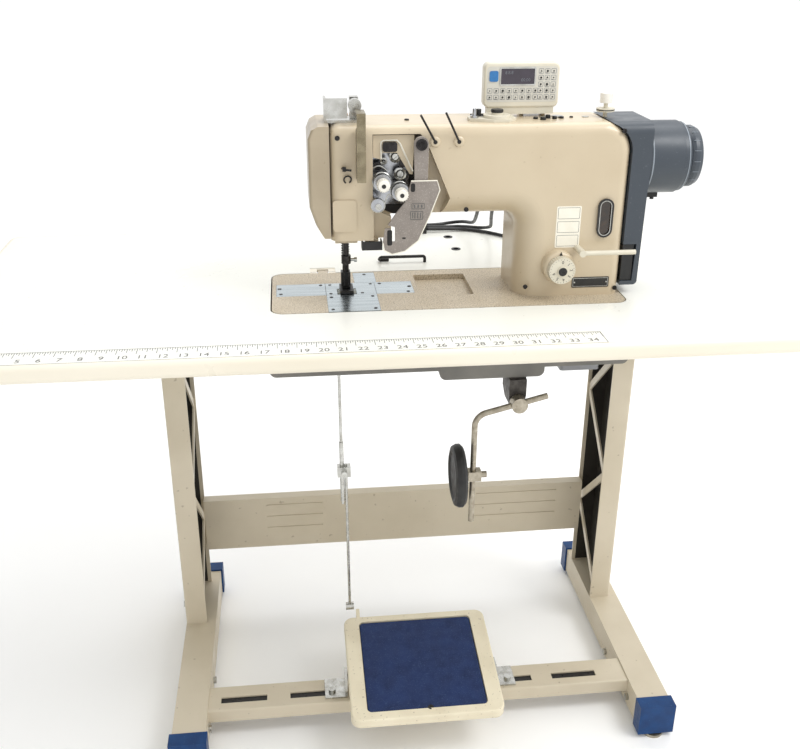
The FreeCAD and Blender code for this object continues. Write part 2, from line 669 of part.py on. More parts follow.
pocket_left, pocket_right, pocket_front, pocket_back = 80, 160, -86, 12
cut(bed, "XY", table_high - 8, table_high + 1, box(pocket_left, pocket_front, pocket_right, pocket_back))
fillet(bed, 4, (pocket_right, pocket_front, None), (pocket_right, pocket_back, None),
       (pocket_left, pocket_back, None),
       (pocket_left, pocket_front, None))
belt_x = 300
cut(bed, "XY", bed_under - 1, table_high + 1, box(belt_x - 16, -62, belt_x + 16, -6))

hook_xs = (needle_x - hook_reach, needle_x + hook_reach)
saddle_low, bush_thick = 668, 3
bearing_xs = (-112, 120, 330)
for x in bearing_xs:
    add(bed, "YZ", x - 5, x + 5, box(lower_y - 16, lower_z - 14, lower_y + 16, bed_under))
for x in hook_xs:
    add(bed, "XY", saddle_low, saddle_low + 10, box(x - 14, under_front, x + 14, needle_y + 14))
    add(bed, "XY", saddle_low, bed_low + 3, box(x - 14, under_front, x + 14, under_front + 6))
cut(bed, "YZ", under_left - 1, under_right - 8, Disc(lower_y, lower_z, lower_r + bush_thick))
cut(bed, "XY", saddle_low - 1, saddle_low + 11, *[Disc(x, needle_y, 8) for x in hook_xs])
lug_half = 8
for x in (hinge_left, hinge_right):
    add(bed, "YZ", x - lug_half, x + lug_half,
        [(under_back - 1, bed_under - 10), (under_back + 4, bed_under - 8), (hinge_y + 5, hinge_z - 6),
         (hinge_y + 6, hinge_z), (hinge_y + 4, hinge_z + 5), (bed_back - 1, hinge_z + 5),
         (bed_back - 1, bed_under),
         (under_back - 1, bed_under)])
cut(bed, "YZ", hinge_left - 20, hinge_right + 20, Disc(hinge_y, hinge_z, hinge_pin_r))

pin_half = 17
hinge_pins = [rod("X", x - pin_half, x + pin_half, hinge_pin_r, hinge_y, hinge_z) for x in (hinge_left,
    hinge_right)]


def hinge_cup(x):
    """A rubber-lined cup let into the table, with an ear each side of the bed's lug."""
    lo, hi = x - cup_half, x + cup_half
    cup = block(lo, hi, cut_back, cup_back, hinge_z - cup_low, hinge_z + hinge_pin_r)
    room = block(x - lug_half - 1, x + lug_half + 1, cut_back - 1, hinge_y + 13, hinge_z - cup_low - 1,
                 table_high + 1)
    return less(cup, room, rod("X", lo - 1, hi + 1, hinge_pin_r + RUN, hinge_y, hinge_z))


node("hinge_cups", group(*[hinge_cup(x) for x in (hinge_left, hinge_right)]))

seam = 0.3
strip_plates = [
    block(well_left + seam, mid_left - seam, strip_front + seam, strip_back - seam, plate_low, table_high),
    block(mid_right + seam, well_right - seam, strip_front + seam, strip_back - seam, plate_low, table_high),
    block(mid_left + seam, mid_right - seam, bed_front + 1, strip_front - seam, plate_low, table_high),
    block(-14 + seam, 20 - seam, strip_back + seam, bed_back - 4, plate_low, table_high)]

tooth_xs = ((needle_x - 14, needle_x - 8), (needle_x + 8, needle_x + 14))
tooth_front, tooth_back, feed_travel = needle_y - 11, needle_y + 9, 2.5
throat = slab("needle_plate", "XY", plate_low, table_high, box(mid_left + seam, strip_front + seam,
                                                               mid_right - seam, strip_back - seam))
needle_xs = (needle_x - needle_gauge / 2, needle_x + needle_gauge / 2)
needle_r = 0.6
cut(throat, "XY", plate_low - 1, table_high + 1, *[Disc(x, needle_y, needle_r + 0.7) for x in needle_xs])
cut(throat, "XY", plate_low - 1, table_high + 1,
    *[box(lo - AIR, tooth_front - feed_travel - AIR, hi + AIR, tooth_back + feed_travel + AIR) for lo,
      hi in tooth_xs])
throat.Label = "throat"
del nodes["needle_plate"]
node("bed_plates", group(throat, *strip_plates))

feed_top = table_high + 0.2
feed = slab("feed_dog", "XY", plate_low - 9, plate_low - 2, box(tooth_xs[0][0], tooth_front, tooth_xs[1][1],
                                                                strip_back - 9))
cut(feed, "XY", plate_low - 10, plate_low, box(tooth_xs[0][1], tooth_front - 1, tooth_xs[1][0], tooth_back))
for lo, hi in tooth_xs:
    add(feed, "XY", plate_low - 3, feed_top, box(lo, tooth_front, hi, tooth_back))
tooth_pitch = 2.5
cut(feed, "YZ", tooth_xs[0][0] - 1, tooth_xs[1][1] + 1,
    *[[(tooth_front + tooth_pitch * k, feed_top + 0.1), (tooth_front + tooth_pitch * k, feed_top - 1),
       (tooth_front + tooth_pitch * (k + 0.9), feed_top + 0.1)] for k in range(8)])


# ---------------------------------------------------------------- arm casting

arm = slab("arm_casting", "XZ", arm_front, arm_back,
           [(column_left, table_high), (arm_right, table_high), (arm_right, arm_high), (arm_left, arm_high),
            (arm_left, head_low), (head_right, head_low), (head_right, arm_low), (column_left, arm_low)])
fillet(arm, 42, (arm_right, None, arm_high))
fillet(arm, 18, (column_left, None, arm_low))
fillet(arm, 38, (column_left, arm_front, (table_high, arm_low)))
fillet(arm, 14, (arm_left, arm_front, None))
fillet(arm, 15, ((arm_left + 14, arm_right - 42), arm_front, arm_high))
fillet(arm, 7, ((arm_left, arm_right), arm_back, arm_high))

head_in_right = -2
deep_y, shallow_y = arm_front + arm_wall, shaft_y - 16
in_top = arm_high - 10
recess_back = arm_front + 28
cut(arm, "XZ", arm_front - 1, recess_back,
    [(8, 990), (74, 990), (87, 970), (117, 900), (106, arm_low - 1), (head_right + 3, arm_low - 1), (8, 884)])
cut(arm, "XZ", arm_front - 1, arm_front + 14, box(head_right - 26, head_low - 1, head_right + 1,
                                                  arm_low + 14))
cut(arm, "YZ", arm_left - 1, head_in_right, box(deep_y, head_low + 8, -12, in_top))
cut(arm, "XZ", shallow_y, arm_back + 1, box(6, arm_low + 10, 132, in_top))
thick_y = arm_front + 22
cut(arm, "XZ", deep_y, thick_y + 1, box(131, arm_low + 24, arm_right - 10, in_top))
cut(arm, "XZ", thick_y, arm_back + 1, box(131, arm_low + 10, arm_right - 10, in_top))
cut(arm, "XZ", deep_y, thick_y + 1, box(column_left + 26, table_high - 1, arm_right - 10, arm_low + 25))
cut(arm, "XZ", thick_y, arm_back + 1, box(column_left + 12, table_high - 1, arm_right - 10, arm_low + 11))
shaft_bore = shaft_r + 5
cut(arm, "YZ", head_in_right - 1, 7, Disc(shaft_y, shaft_z, shaft_bore))
cut(arm, "YZ", arm_right - 11, arm_right + 1, Disc(shaft_y, shaft_z, shaft_bore))
bar_bush = 3
cut(arm, "XY", head_low - 1, head_low + 9, Disc(needle_x, needle_y, needle_bar_r + bar_bush),
    Disc(needle_x, presser_y, presser_bar_r + bar_bush))
cut(arm, "XY", in_top - 1, arm_high + 1, Disc(needle_x, presser_y, presser_bar_r + bar_bush))
take_left, take_right = -14, -6
cut(arm, "XZ", arm_front - 1, deep_y + 1, box(take_left, 932, take_right, 998))
dial_boss_r = 24
add(arm, "XZ", -124, arm_front + 1, Disc(dial_x, dial_z, dial_boss_r))
fillet(arm, 6, (None, -124, None))
cut(arm, "XZ", -125, deep_y + 1, Disc(dial_x, dial_z, 4 + RUN))

bushes = [less(rod("Z", head_low - 8, head_low + 8, r + bar_bush, needle_x, y),
               rod("Z", head_low - 9, head_low + 9, r + RUN, needle_x, y))
          for y, r in ((needle_y, needle_bar_r), (presser_y, presser_bar_r))]
bushes.append(less(rod("Z", in_top - 14, arm_high + 6, presser_bar_r + bar_bush, needle_x, presser_y),
                   rod("Z", in_top - 15, arm_high + 4, presser_bar_r + RUN, needle_x, presser_y)))
for lo, hi in ((head_in_right, 10), (arm_right - 14, arm_right)):
    bushes.append(less(rod("X", lo, hi, shaft_bore, shaft_y, shaft_z),
                       rod("X", lo - 1, hi + 1, shaft_r + RUN, shaft_y, shaft_z)))
for x in bearing_xs:
    bushes.append(less(rod("X", x - 7, x + 7, lower_r + bush_thick, lower_y, lower_z),
                       rod("X", x - 8, x + 8, lower_r + RUN, lower_y, lower_z)))
for x in hook_xs:
    bushes.append(less(rod("Z", saddle_low - 2, saddle_low + 12, 8, x, needle_y),
                       rod("Z", saddle_low - 3, saddle_low + 13, 5 + RUN, x, needle_y)))
node("shaft_bushes", group(*bushes))

face_left, face_front, face_back = -80, arm_front + 1, arm_back - 2
face = slab("face_plate", "XZ", face_front, face_back,
            [(arm_left, head_low + 4), (arm_left, arm_high), (-66, arm_high), (-75, 996), (face_left, 984),
             (face_left, 890), (-72, 866), (-60, head_low + 4)])
fillet(face, 5, ((face_left, -60), face_front, (head_low + 5, 999)))
cut(face, "XZ", face_front + 3, face_back - 3,
    [(arm_left + 1, head_low + 8), (arm_left + 1, arm_high - 3), (-66, arm_high - 3), (-73, 993),
     (face_left + 3, 982),
     (face_left + 3, 892), (-70, 868), (-59, head_low + 8)])

node("rear_cover", slab("rear_cover", "XZ", arm_back, arm_back + 2,
     [(2, arm_low + 6), (column_left + 8, arm_low + 6), (column_left + 8, table_high + 8),
      (arm_right - 6, table_high + 8),
      (arm_right - 6, arm_high - 44), (arm_right - 42, arm_high - 8), (2, arm_high - 8)]))
add(nodes["rear_cover"], "XZ", arm_back + 1, arm_back + 8, Disc(188, 884, 7), Disc(212, 884, 7),
    Disc(306, 800, 7))


# ---------------------------------------------------------------- motor end

cover_low = 764
corner_x, corner_z, corner_r = arm_right - 42, arm_high - 42, 42.3
motor_cover = slab("motor_cover", "XZ", arm_front, arm_back,
                   [(arm_right, cover_low), (arm_right + 26, cover_low), (arm_right + 28, 906),
                    (motor_left + 1, 912),
                    (motor_left + 1, arm_high), (corner_x + corner_r / 4, arm_high),
                    *[(corner_x + corner_r * cos(radians(a)), corner_z + corner_r * sin(radians(a)))
                      for a in range(70, 9, -10)], (arm_right, corner_z + 3)])
fillet(motor_cover, 16, (None, arm_front, arm_high))
fillet(motor_cover, 7, (None, arm_back, arm_high))
fillet(motor_cover, 6, (arm_right + 26, None, cover_low))
cut(motor_cover, "XZ", arm_front + 16, arm_back - 3,
    [(arm_right - 1, 830), (arm_right + 24, 830), (arm_right + 25, arm_high - 4),
     (arm_right - 1, arm_high - 4)])
cut(motor_cover, "XZ", arm_front - 1, arm_front + 30,
    [(arm_right - 1, 770), (arm_right + 18, 770), (arm_right + 20, 826), (arm_right - 1, 826)])
cut(motor_cover, "YZ", arm_right + 20, motor_left + 2, Disc(shaft_y, shaft_z, motor_r - motor_wall))

step_x = 455
housing = turned("motor_housing", "X", [(motor_left + 1, motor_r - motor_wall), (motor_left + 1, motor_r + 1),
                                        (step_x, motor_r + 1),
                              (step_x + 1, motor_r - 1), (motor_right - 2, motor_r - 2),
                              (motor_right, motor_r - 4),
                              (motor_right, shaft_r + 4), (motor_right - 4, shaft_r + 4),
                              (motor_right - 4, motor_r - 7), (step_x, motor_r - motor_wall)], y=shaft_y,
                              z=shaft_z)
stator = turned("motor_stator", "X", [(motor_left + 8, 36), (motor_left + 8, motor_r - motor_wall),
                                      (step_x - 6, motor_r - motor_wall),
                             (step_x - 6, 36)], y=shaft_y, z=shaft_z)
del nodes["motor_stator"]
housing.Label = "motor_shell"
node("motor_housing", group(housing, stator))


# ---------------------------------------------------------------- shafts that turn

crank_left = needle_x + 7
pulley_r, pulley_half, belt_thick = 18, 6, 1.6
turned("main_shaft", "X",
       [(crank_left, 0), (crank_left, 14), (crank_left + 7, 14), (crank_left + 7, shaft_r),
        (belt_x - pulley_half, shaft_r),
        (belt_x - pulley_half, pulley_r), (belt_x + pulley_half, pulley_r), (belt_x + pulley_half, shaft_r),
        (motor_left + 10, shaft_r), (motor_left + 10, 35), (step_x - 8, 35), (step_x - 8, shaft_r),
        (wheel_right - 8, shaft_r), (wheel_right - 8, 0)], y=shaft_y, z=shaft_z)
turned("handwheel", "X",
       [(motor_right + AIR, shaft_r), (motor_right + AIR, wheel_r - 6), (motor_right + 3, wheel_r - 2),
        (motor_right + 8, wheel_r),
        (wheel_right - 8, wheel_r), (wheel_right - 2, wheel_r - 3), (wheel_right, wheel_r - 8),
        (wheel_right, 16),
        (wheel_right - 3, 14), (wheel_right - 3, 0), (wheel_right - 8, 0), (wheel_right - 8, shaft_r)],
       y=shaft_y, z=shaft_z)

gear_r, pinion_r, gear_half = 19.6, 9.8, 7
lower_left, lower_right = bearing_xs[0] - 14, bearing_xs[-1] + 14
profile = [(lower_left, 0), (lower_left, lower_r)]
for x in hook_xs:
    profile += [(x - gear_half, lower_r), (x - gear_half, gear_r), (x + gear_half, gear_r),
                (x + gear_half, lower_r)]
profile += [(belt_x - pulley_half, lower_r), (belt_x - pulley_half, pulley_r),
            (belt_x + pulley_half, pulley_r),
            (belt_x + pulley_half, lower_r), (lower_right, lower_r), (lower_right, 0)]
turned("lower_shaft", "X", profile, y=lower_y, z=lower_z)

for label, x in zip(("left_hook", "right_hook"), hook_xs):
    hook_floor, wall = hook_low + 4, 3
    turned(label, "Z", [(saddle_low - 4, 0), (saddle_low - 4, 5), (lower_z - 12, 5), (lower_z - 12, pinion_r),
                        (lower_z + 12, pinion_r),
                        (lower_z + 12, 5), (hook_low, 5), (hook_low, hook_r - 3), (hook_low + 3, hook_r),
                        (hook_high - 4, hook_r),
                        (hook_high, hook_r - 2), (hook_high, hook_r - 2 - wall),
                        (hook_floor, hook_r - 2 - wall),
                        (hook_floor, 11), (hook_high - 2, 11), (hook_high - 2, 3), (hook_floor + 2, 3),
                        (hook_floor + 2, 0)],
           x=x, y=needle_y)

across, along = lower_y - shaft_y, lower_z - shaft_z
run = hypot(across, along)
side_y, side_z = -along / run, across / run


def belt_side(radius):
    """The straight part of the belt's outline, as wide as the pulleys' wrap."""
    aside_y, aside_z = side_y * radius, side_z * radius
    return [(shaft_y - aside_y, shaft_z - aside_z), (shaft_y + aside_y, shaft_z + aside_z),
            (lower_y + aside_y, lower_z + aside_z), (lower_y - aside_y, lower_z - aside_z)]


belt_inner = pulley_r + AIR
belt_outer = belt_inner + belt_thick
belt_lo, belt_hi = belt_x - pulley_half + 1, belt_x + pulley_half - 1
belt = slab("timing_belt", "YZ", belt_lo, belt_hi, belt_side(belt_outer))
for y, z in ((shaft_y, shaft_z), (lower_y, lower_z)):
    add(belt, "YZ", belt_lo, belt_hi, Disc(y, z, belt_outer))
cut(belt, "YZ", belt_lo - 1, belt_hi + 1, belt_side(belt_inner))
for y, z in ((shaft_y, shaft_z), (lower_y, lower_z)):
    cut(belt, "YZ", belt_lo - 1, belt_hi + 1, Disc(y, z, belt_inner))


# ---------------------------------------------------------------- needle, presser and take-up

bar_low_end, bar_top_end = 792, 968
needle_point = 757
node("needle_bar", group(
    rod("Z", bar_low_end, bar_top_end, needle_bar_r, needle_x, needle_y),
    less(rod("Z", bar_low_end + 2, bar_low_end + 14, 7, needle_x, needle_y),
         rod("Z", bar_low_end, bar_low_end + 16, needle_bar_r, needle_x, needle_y)),
    less(block(needle_x - 12, needle_x + 8, needle_y - 9, needle_y + 9, 900, 918),
         rod("Z", 899, 919, needle_bar_r, needle_x, needle_y)),
    *[rod("Z", needle_point, bar_low_end, needle_r, x, needle_y) for x in needle_xs]))

foot_sole = table_high + 0.6
node("presser_bar", fused(rod("Z", foot_sole + 24, arm_high - 9, presser_bar_r, needle_x, presser_y),
                          rod("Z", 905, 925, 9, needle_x, presser_y)))
foot = slab("presser_foot", "YZ", needle_x - 7, needle_x + 7,
            [(presser_y - 7, foot_sole), (presser_y + 7, foot_sole + 3), (presser_y + 7, foot_sole + 24),
             (presser_y - 7, foot_sole + 24)])
add(foot, "XY", foot_sole, foot_sole + 4, box(needle_x - 10, needle_y - 14, needle_x + 10, presser_y))
cut(foot, "XY", foot_sole - 1, foot_sole + 5, box(needle_x - 5.5, needle_y - 6, needle_x + 5.5, needle_y + 5))
chamfer(foot, 2, (None, needle_y - 14, foot_sole + 4))

take_pivot_y, take_pivot_z = -72, 958
eye_y, eye_z = take_pivot_y - 40, take_pivot_z + 28
lever_x = (take_left + take_right) / 2
lever_len = hypot(40, 28)
nose_y, nose_z = -28 / lever_len * 4, -40 / lever_len * 4
take_up = slab("take_up_lever", "YZ", lever_x - 2.5, lever_x + 2.5,
               [(take_pivot_y - nose_y, take_pivot_z - nose_z), (take_pivot_y + nose_y,
                   take_pivot_z + nose_z),
                (eye_y + nose_y, eye_z + nose_z), (eye_y - nose_y, eye_z - nose_z)])
add(take_up, "YZ", lever_x - 2.5, lever_x + 2.5, Disc(eye_y, eye_z, 4.5))
cut(take_up, "YZ", lever_x - 4, lever_x + 4, Disc(eye_y, eye_z, 1.6))
add(take_up, "YZ", lever_x - 4.5, lever_x + 4.5, Disc(take_pivot_y, take_pivot_z, 8))
cut(take_up, "YZ", lever_x - 6, lever_x + 6, Disc(take_pivot_y, take_pivot_z, 3 + RUN))
take_up_pin = rod("X", lever_x - 9, head_in_right, 3, take_pivot_y, take_pivot_z)

guard_y = -131
guards = group(
    fused(block(-15, -3, guard_y, guard_y + 2, 930, 1022), block(-15, -13, guard_y, arm_front, 930,
        arm_high - 3),
          block(-15, -3, guard_y, arm_front + 10, 1020, 1022)),
    block(-48, -15, arm_front - 2, arm_front, 856, 901))
node("front_guards", guards)


# ---------------------------------------------------------------- threading and tension

post_front = -141
knob_places = {"left_tension_knob": (20, 927), "right_tension_knob": (45, 914)}
tension = [block(9, 61, recess_back - 3, recess_back, 888, 968)]
for x, z in knob_places.values():
    tension.append(rod("Y", post_front, recess_back - 3, 3, x, z))
    for k in range(3):
        tension.append(less(rod("Y", -122 + 4 * k, -120 + 4 * k, 12 - k, x, z),
                            rod("Y", -123 + 4 * k, -119 + 4 * k, 3, x, z)))
tension.append(fused(rod("Y", -116, recess_back - 3, 4, 13, 897), rod("Y", -124, -116, 9, 13, 897)))
node("tension_unit", group(*tension))
for label, (x, z) in knob_places.items():
    turned(label, "Y", [(post_front - 1, 3 + RUN), (post_front - 1, 7), (post_front, 8), (-130, 9), (-124, 7),
                        (-124, 3 + RUN)], x=x, z=z)

arm_plane, plate_plane = -119.5, -122.5
switch_x, switch_z = 73, 979
changeover = slab("changeover_lever", "XZ", plate_plane - 3, plate_plane,
                  [(59, 930), (95, 930), (99, 917), (86, 882), (70, 846), (51, 831), (33, 827), (22, 833),
                   (20, 844), (23, 864),
                   (31, 864), (31, 845), (37, 845), (37, 866), (27, 869), (41, 889), (52, 902)])
fillet(changeover, 9, (33, None, 827), (22, None, 833), (51, None, 831))
add(changeover, "XZ", plate_plane, arm_plane + 3, [(63, 979), (65, 905), (82, 905), (83, 979)])
add(changeover, "XZ", plate_plane + 0.2, arm_plane + 3, Disc(switch_x, switch_z, 10))
cut(changeover, "XZ", plate_plane - 4, arm_plane + 4, Disc(switch_x, switch_z, 4 + RUN))
switch_pin = fused(rod("Y", arm_plane + 3 + AIR, recess_back, 5.5, switch_x, switch_z),
                   rod("Y", plate_plane - 3, arm_plane + 4, 4, switch_x, switch_z),
                   rod("Y", plate_plane - 3, plate_plane - AIR, 7, switch_x, switch_z))


def thread_pin(base, top):
    """A thin pin leaning out of a round boss."""
    low, high = Vector(*base), Vector(*top)
    wire = doc.addObject("Part::Cylinder", "pin")
    wire.Placement = Placement(low, Rotation(Vector(0, 0, 1), high - low))
    wire.Radius = 1.5
    wire.Height = (high - low).Length
    return fused(rod("Y", arm_front - 4, arm_front, 6, base[0], base[2]), wire)


node("thread_pins", group(thread_pin((127, -108.5, 979), (106, -120, 1020)),
                          thread_pin((94, -108.5, 979), (72, -118, 1017)),
                          bent_wire([(-27, arm_front - 0.5, 930), (-27, arm_front - 9, 930),
                                     (-19, arm_front - 10, 926)], 2.5, 1.2)))

pre_low, pre_high = arm_high, arm_high + 33
node("pretension_unit", group(
    less(block(-56, -2, -76, -34, pre_low, pre_low + 4), rod("Z", pre_low - 1, pre_low + 5, 8.2, needle_x,
                                                             presser_y)),
    fused(block(-56, -53, -76, -50, pre_low + 4, pre_high), block(-53, -24, -76, -74, pre_low + 6, pre_high)),
    fused(rod("Y", -88, -50, 2.5, -14, pre_low + 24), rod("Y", -84, -72, 9, -14, pre_low + 24),
          block(-20, -8, -64, -50, pre_low + 4, pre_high))))


# ---------------------------------------------------------------- controls

dial_parts = fused(rod("Y", dial_front, -124 - AIR, dial_r, dial_x, dial_z),
                   rod("Y", dial_front - 3, dial_front, 7, dial_x, dial_z),
                   rod("Y", -125, deep_y + 24, 4, dial_x, dial_z))
node("stitch_dial", dial_parts)

reverse_z, reverse_y, reverse_r = 823, -134, 3.6
boss_z, boss_x = reverse_z, 306
cut(arm, "XZ", arm_front - 19, deep_y + 1, Disc(boss_x, boss_z, 5 + RUN))
node("reverse_lever", fused(rod("X", boss_x, 384, reverse_r, reverse_y, reverse_z),
                            rod("Y", reverse_y - reverse_r, deep_y + 10, 5, boss_x, boss_z)))

button_z = 828
add(arm, "XZ", arm_front + 5, arm_front + 18, box(-3, button_z + 9, 16, head_low + 1))
node("quick_reverse_button", less(block(-8, 21, arm_front - 1, arm_front + 16, button_z, head_low - 1.5),
                                  block(-6, 19, arm_front + 1, arm_front + 17, button_z + 8, head_low)))

window_x, window_low, window_high, window_r = 343, 850, 884, 11
cut(arm, "XZ", arm_front - 1, deep_y + 1, Disc(window_x, window_high, window_r - 3),
    Disc(window_x, window_low, window_r - 3))
cut(arm, "XZ", arm_front - 1, deep_y + 1, box(window_x - window_r + 3, window_low, window_x + window_r - 3,
                                              window_high))


def obround(r, lo, hi):
    return fused(rod("Y", lo, hi, r, window_x, window_low), rod("Y", lo, hi, r, window_x, window_high),
                 block(window_x - r, window_x + r, lo, hi, window_low, window_high))


node("oil_window", group(less(obround(window_r, arm_front - 3, arm_front),
                              obround(window_r - 3, arm_front - 4, arm_front + 1)),
                         obround(window_r - 3.1, arm_front - 1, deep_y)))


# ---------------------------------------------------------------- top of the arm

winder_deck = slab("winder_base", "XY", arm_high, arm_high + 4,
                   [(winder_x - 44, winder_y - 8), (winder_x - 12, winder_y - 20),
                    (winder_x + 10, winder_y - 20),
                    (winder_x + 22, winder_y - 6), (winder_x + 22, winder_y + 21),
                    (winder_x - 36, winder_y + 21),
                    (winder_x - 44, winder_y + 12)])
add(winder_deck, "XY", arm_high + 3, arm_high + 8, Disc(winder_x - 4, winder_y, 19))
add(winder_deck, "XY", arm_high + 7, arm_high + 11, Disc(winder_x - 4, winder_y, 8))
cut(winder_deck, "XY", arm_high - 1, arm_high + 5, Disc(winder_x - 36, winder_y, 3 + RUN))
cut(arm, "XY", in_top - 1, arm_high + 1, Disc(winder_x - 36, winder_y, 6))
turned("winder_spindle", "Z", [(in_top - 4, 0), (in_top - 4, 9), (in_top - 1.5, 9), (in_top - 1.5, 3),
                               (arm_high + 4 + AIR, 3),
                               (arm_high + 4 + AIR, 6), (arm_high + 7, 6), (arm_high + 7, 3),
                               (arm_high + 16, 2.6), (arm_high + 17, 0)],
       x=winder_x - 36, y=winder_y)
winder_post = fused(rod("Z", arm_high, arm_high + 24, 3, post_x, shaft_y),
                    rod("Z", arm_high + 8, arm_high + 9.5, 13, post_x, shaft_y),
                    rod("Z", arm_high + 11, arm_high + 12.5, 13, post_x, shaft_y))
winder_deck.Label = "winder_deck"
node("winder_base", group(winder_deck, winder_post))
turned("winder_tension_knob", "Z", [(arm_high + 20, 3 + RUN), (arm_high + 20, 9), (arm_high + 33, 9),
                                    (arm_high + 34, 8), (arm_high + 34, 0),
                                    (arm_high + 24 + AIR, 0), (arm_high + 24 + AIR, 3 + RUN)], x=post_x,
                                    y=shaft_y)

post_mid = (panel_left + panel_right) / 2
panel_pivot_z = arm_high + 11
panel_front, panel_back, case_front, case_low, panel_low, panel_high = -26, -9, -24, -7, 2, 63.5
ear_left, ear_right, ear_half = post_mid + 6, post_mid + 38, 3
for x in (ear_left, ear_right):
    add(arm, "YZ", x - ear_half, x + ear_half, box(panel_y - 6, arm_high - 1, panel_y + 6,
                                                   panel_pivot_z + 4.5))
cut(arm, "YZ", ear_left - 5, ear_right + 5, Disc(panel_y, panel_pivot_z, 2.5))
panel_pin = rod("X", ear_left - ear_half, ear_right + ear_half, 2.5, panel_y, panel_pivot_z)
knuckle_left, knuckle_right = ear_left + ear_half + AIR, ear_right - ear_half - AIR
node("pivot_pins", group(*hinge_pins, take_up_pin, switch_pin, panel_pin))
panel = slab("control_panel", "XZ", panel_front, panel_back, box(panel_left, panel_low, panel_right,
    panel_high))
fillet(panel, 8, *[(x, None, z) for x in (panel_left, panel_right) for z in (panel_low, panel_high)])
fillet(panel, 3, (panel_left, panel_front, None))
add(panel, "XZ", case_front, panel_back, box(panel_left + 6, case_low, panel_right - 6, panel_low + 9))
add(panel, "YZ", knuckle_left, knuckle_right, Disc(0, 0, 7))
add(panel, "YZ", knuckle_left, knuckle_right, box(panel_back - 1, 0, -4, 6))
cut(panel, "YZ", knuckle_left - 1, knuckle_right + 1, Disc(0, 0, 2.5 + RUN))
screen_left, screen_low = panel_left + 23, 34
cut(panel, "XZ", panel_front - 1, panel_front + 2, box(screen_left, screen_low, screen_left + 48,
                                                       screen_low + 22))
panel.Placement = Placement(Vector(0, float(panel_y), float(panel_pivot_z)), Rotation())
place(panel, 0, panel_y, panel_pivot_z)


# ---------------------------------------------------------------- cables behind the arm

cable_r = 3
gland_right, gland_high, gland_y, gland_half = 134, 14, 264, 20
node("cable_gland", fused(rod("Z", table_under, table_high + 1, cable_hole_r, cable_x, cable_y),
                          block(98, gland_right, gland_y - gland_half, gland_y + gland_half,
                                table_high, table_high + gland_high)))
lying = table_high + cable_r + 0.6
exit_y, entry_z = arm_back + 8, table_high + 7
SWITCH_CABLE = [(188, exit_y, 884), (188, 36, 884), (193, 68, 850), (199, 114, 818), (206, 168, 792),
                (213, 226, 773),
                (203, 268, 765), (178, 287, entry_z), (156, gland_y + 13, entry_z),
                (gland_right, gland_y + 13, entry_z)]
PANEL_CABLE = [(212, exit_y, 884), (212, 36, 884), (216, 70, 846), (224, 118, 812), (236, 172, 784),
               (246, 224, 765),
               (236, 260, lying), (204, 275, lying), (166, 265, entry_z - 1), (gland_right, gland_y, entry_z)]
MOTOR_CABLE = [(306, exit_y, 800), (306, 40, 800), (303, 86, 782), (294, 142, 761), (272, 200, lying),
               (238, 236, lying),
               (202, 257, lying), (164, 252, entry_z - 1), (gland_right, gland_y - 13, entry_z)]


def cable(points, radius):
    """A round cable along straight runs and the largest tangent arcs its runs allow."""
    spots = [Vector(*[float(c) for c in p]) for p in points]
    edges, radii = [], []
    start = spots[0]
    for before, corner, after in zip(spots, spots[1:], spots[2:]):
        come, go = corner - before, after - corner
        back = 0.45 * min(come.Length, go.Length)
        turn = come.getAngle(go)
        come.normalize()
        go.normalize()
        radii.append(back / tan(turn / 2))
        first, last = corner - come * back, corner + go * back
        middle = corner + (go - come).normalize() * (radii[-1] / cos(turn / 2) - radii[-1])
        edges += [Part.LineSegment(start, first).toShape(), Part.Arc(first, middle, last).toShape()]
        start = last
    edges.append(Part.LineSegment(start, spots[-1]).toShape())
    path = Part.Wire(edges)
    ring = Part.Wire(Part.Circle(spots[0], spots[1] - spots[0], float(radius)).toShape())
    made = doc.addObject("Part::Feature", "cable")
    made.Shape = path.makePipeShell([ring], True, False)
    made.Placement = Placement()
    share = made.Shape.Volume / (3.14159265 * float(radius) ** 2 * path.Length)
    print("cable %.0f mm, radii" % path.Length, [round(r) for r in radii], "volume share %.3f" % share)
    return made


node("head_cables", group(*[cable(route, cable_r) for route in (SWITCH_CABLE, PANEL_CABLE, MOTOR_CABLE)]))


# ---------------------------------------------------------------- check and write

doc.recompute()
for made in doc.Objects:
    if "Invalid" in made.State or "Error" in made.State:
        raise ValueError("%s is %s" % (made.Label, made.State))
os.makedirs("parts", exist_ok=True)
for label, made in nodes.items():
    shape = made.Shape
    if shape.isNull() or not shape.isValid():
        raise ValueError("%s has no valid shape" % label)
    shape.exportStep("parts/%s.step" % label)
    size = shape.BoundBox
    print("%-22s %2d solids  %7.1f x %6.1f x %6.1f" % (label, len(shape.Solids), size.XLength, size.YLength,
                                                    size.ZLength))
print(len(nodes), "nodes")
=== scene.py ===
# %% [markdown]
# # A twin-needle lockstitch sewing machine on its table
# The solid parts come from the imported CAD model, which is loaded first and never changed. This script
# gives each of them a real finish and adds what is too fine for CAD: prints, screws, springs and cables.

import bpy
import numpy as np
from mathutils import Matrix, Vector


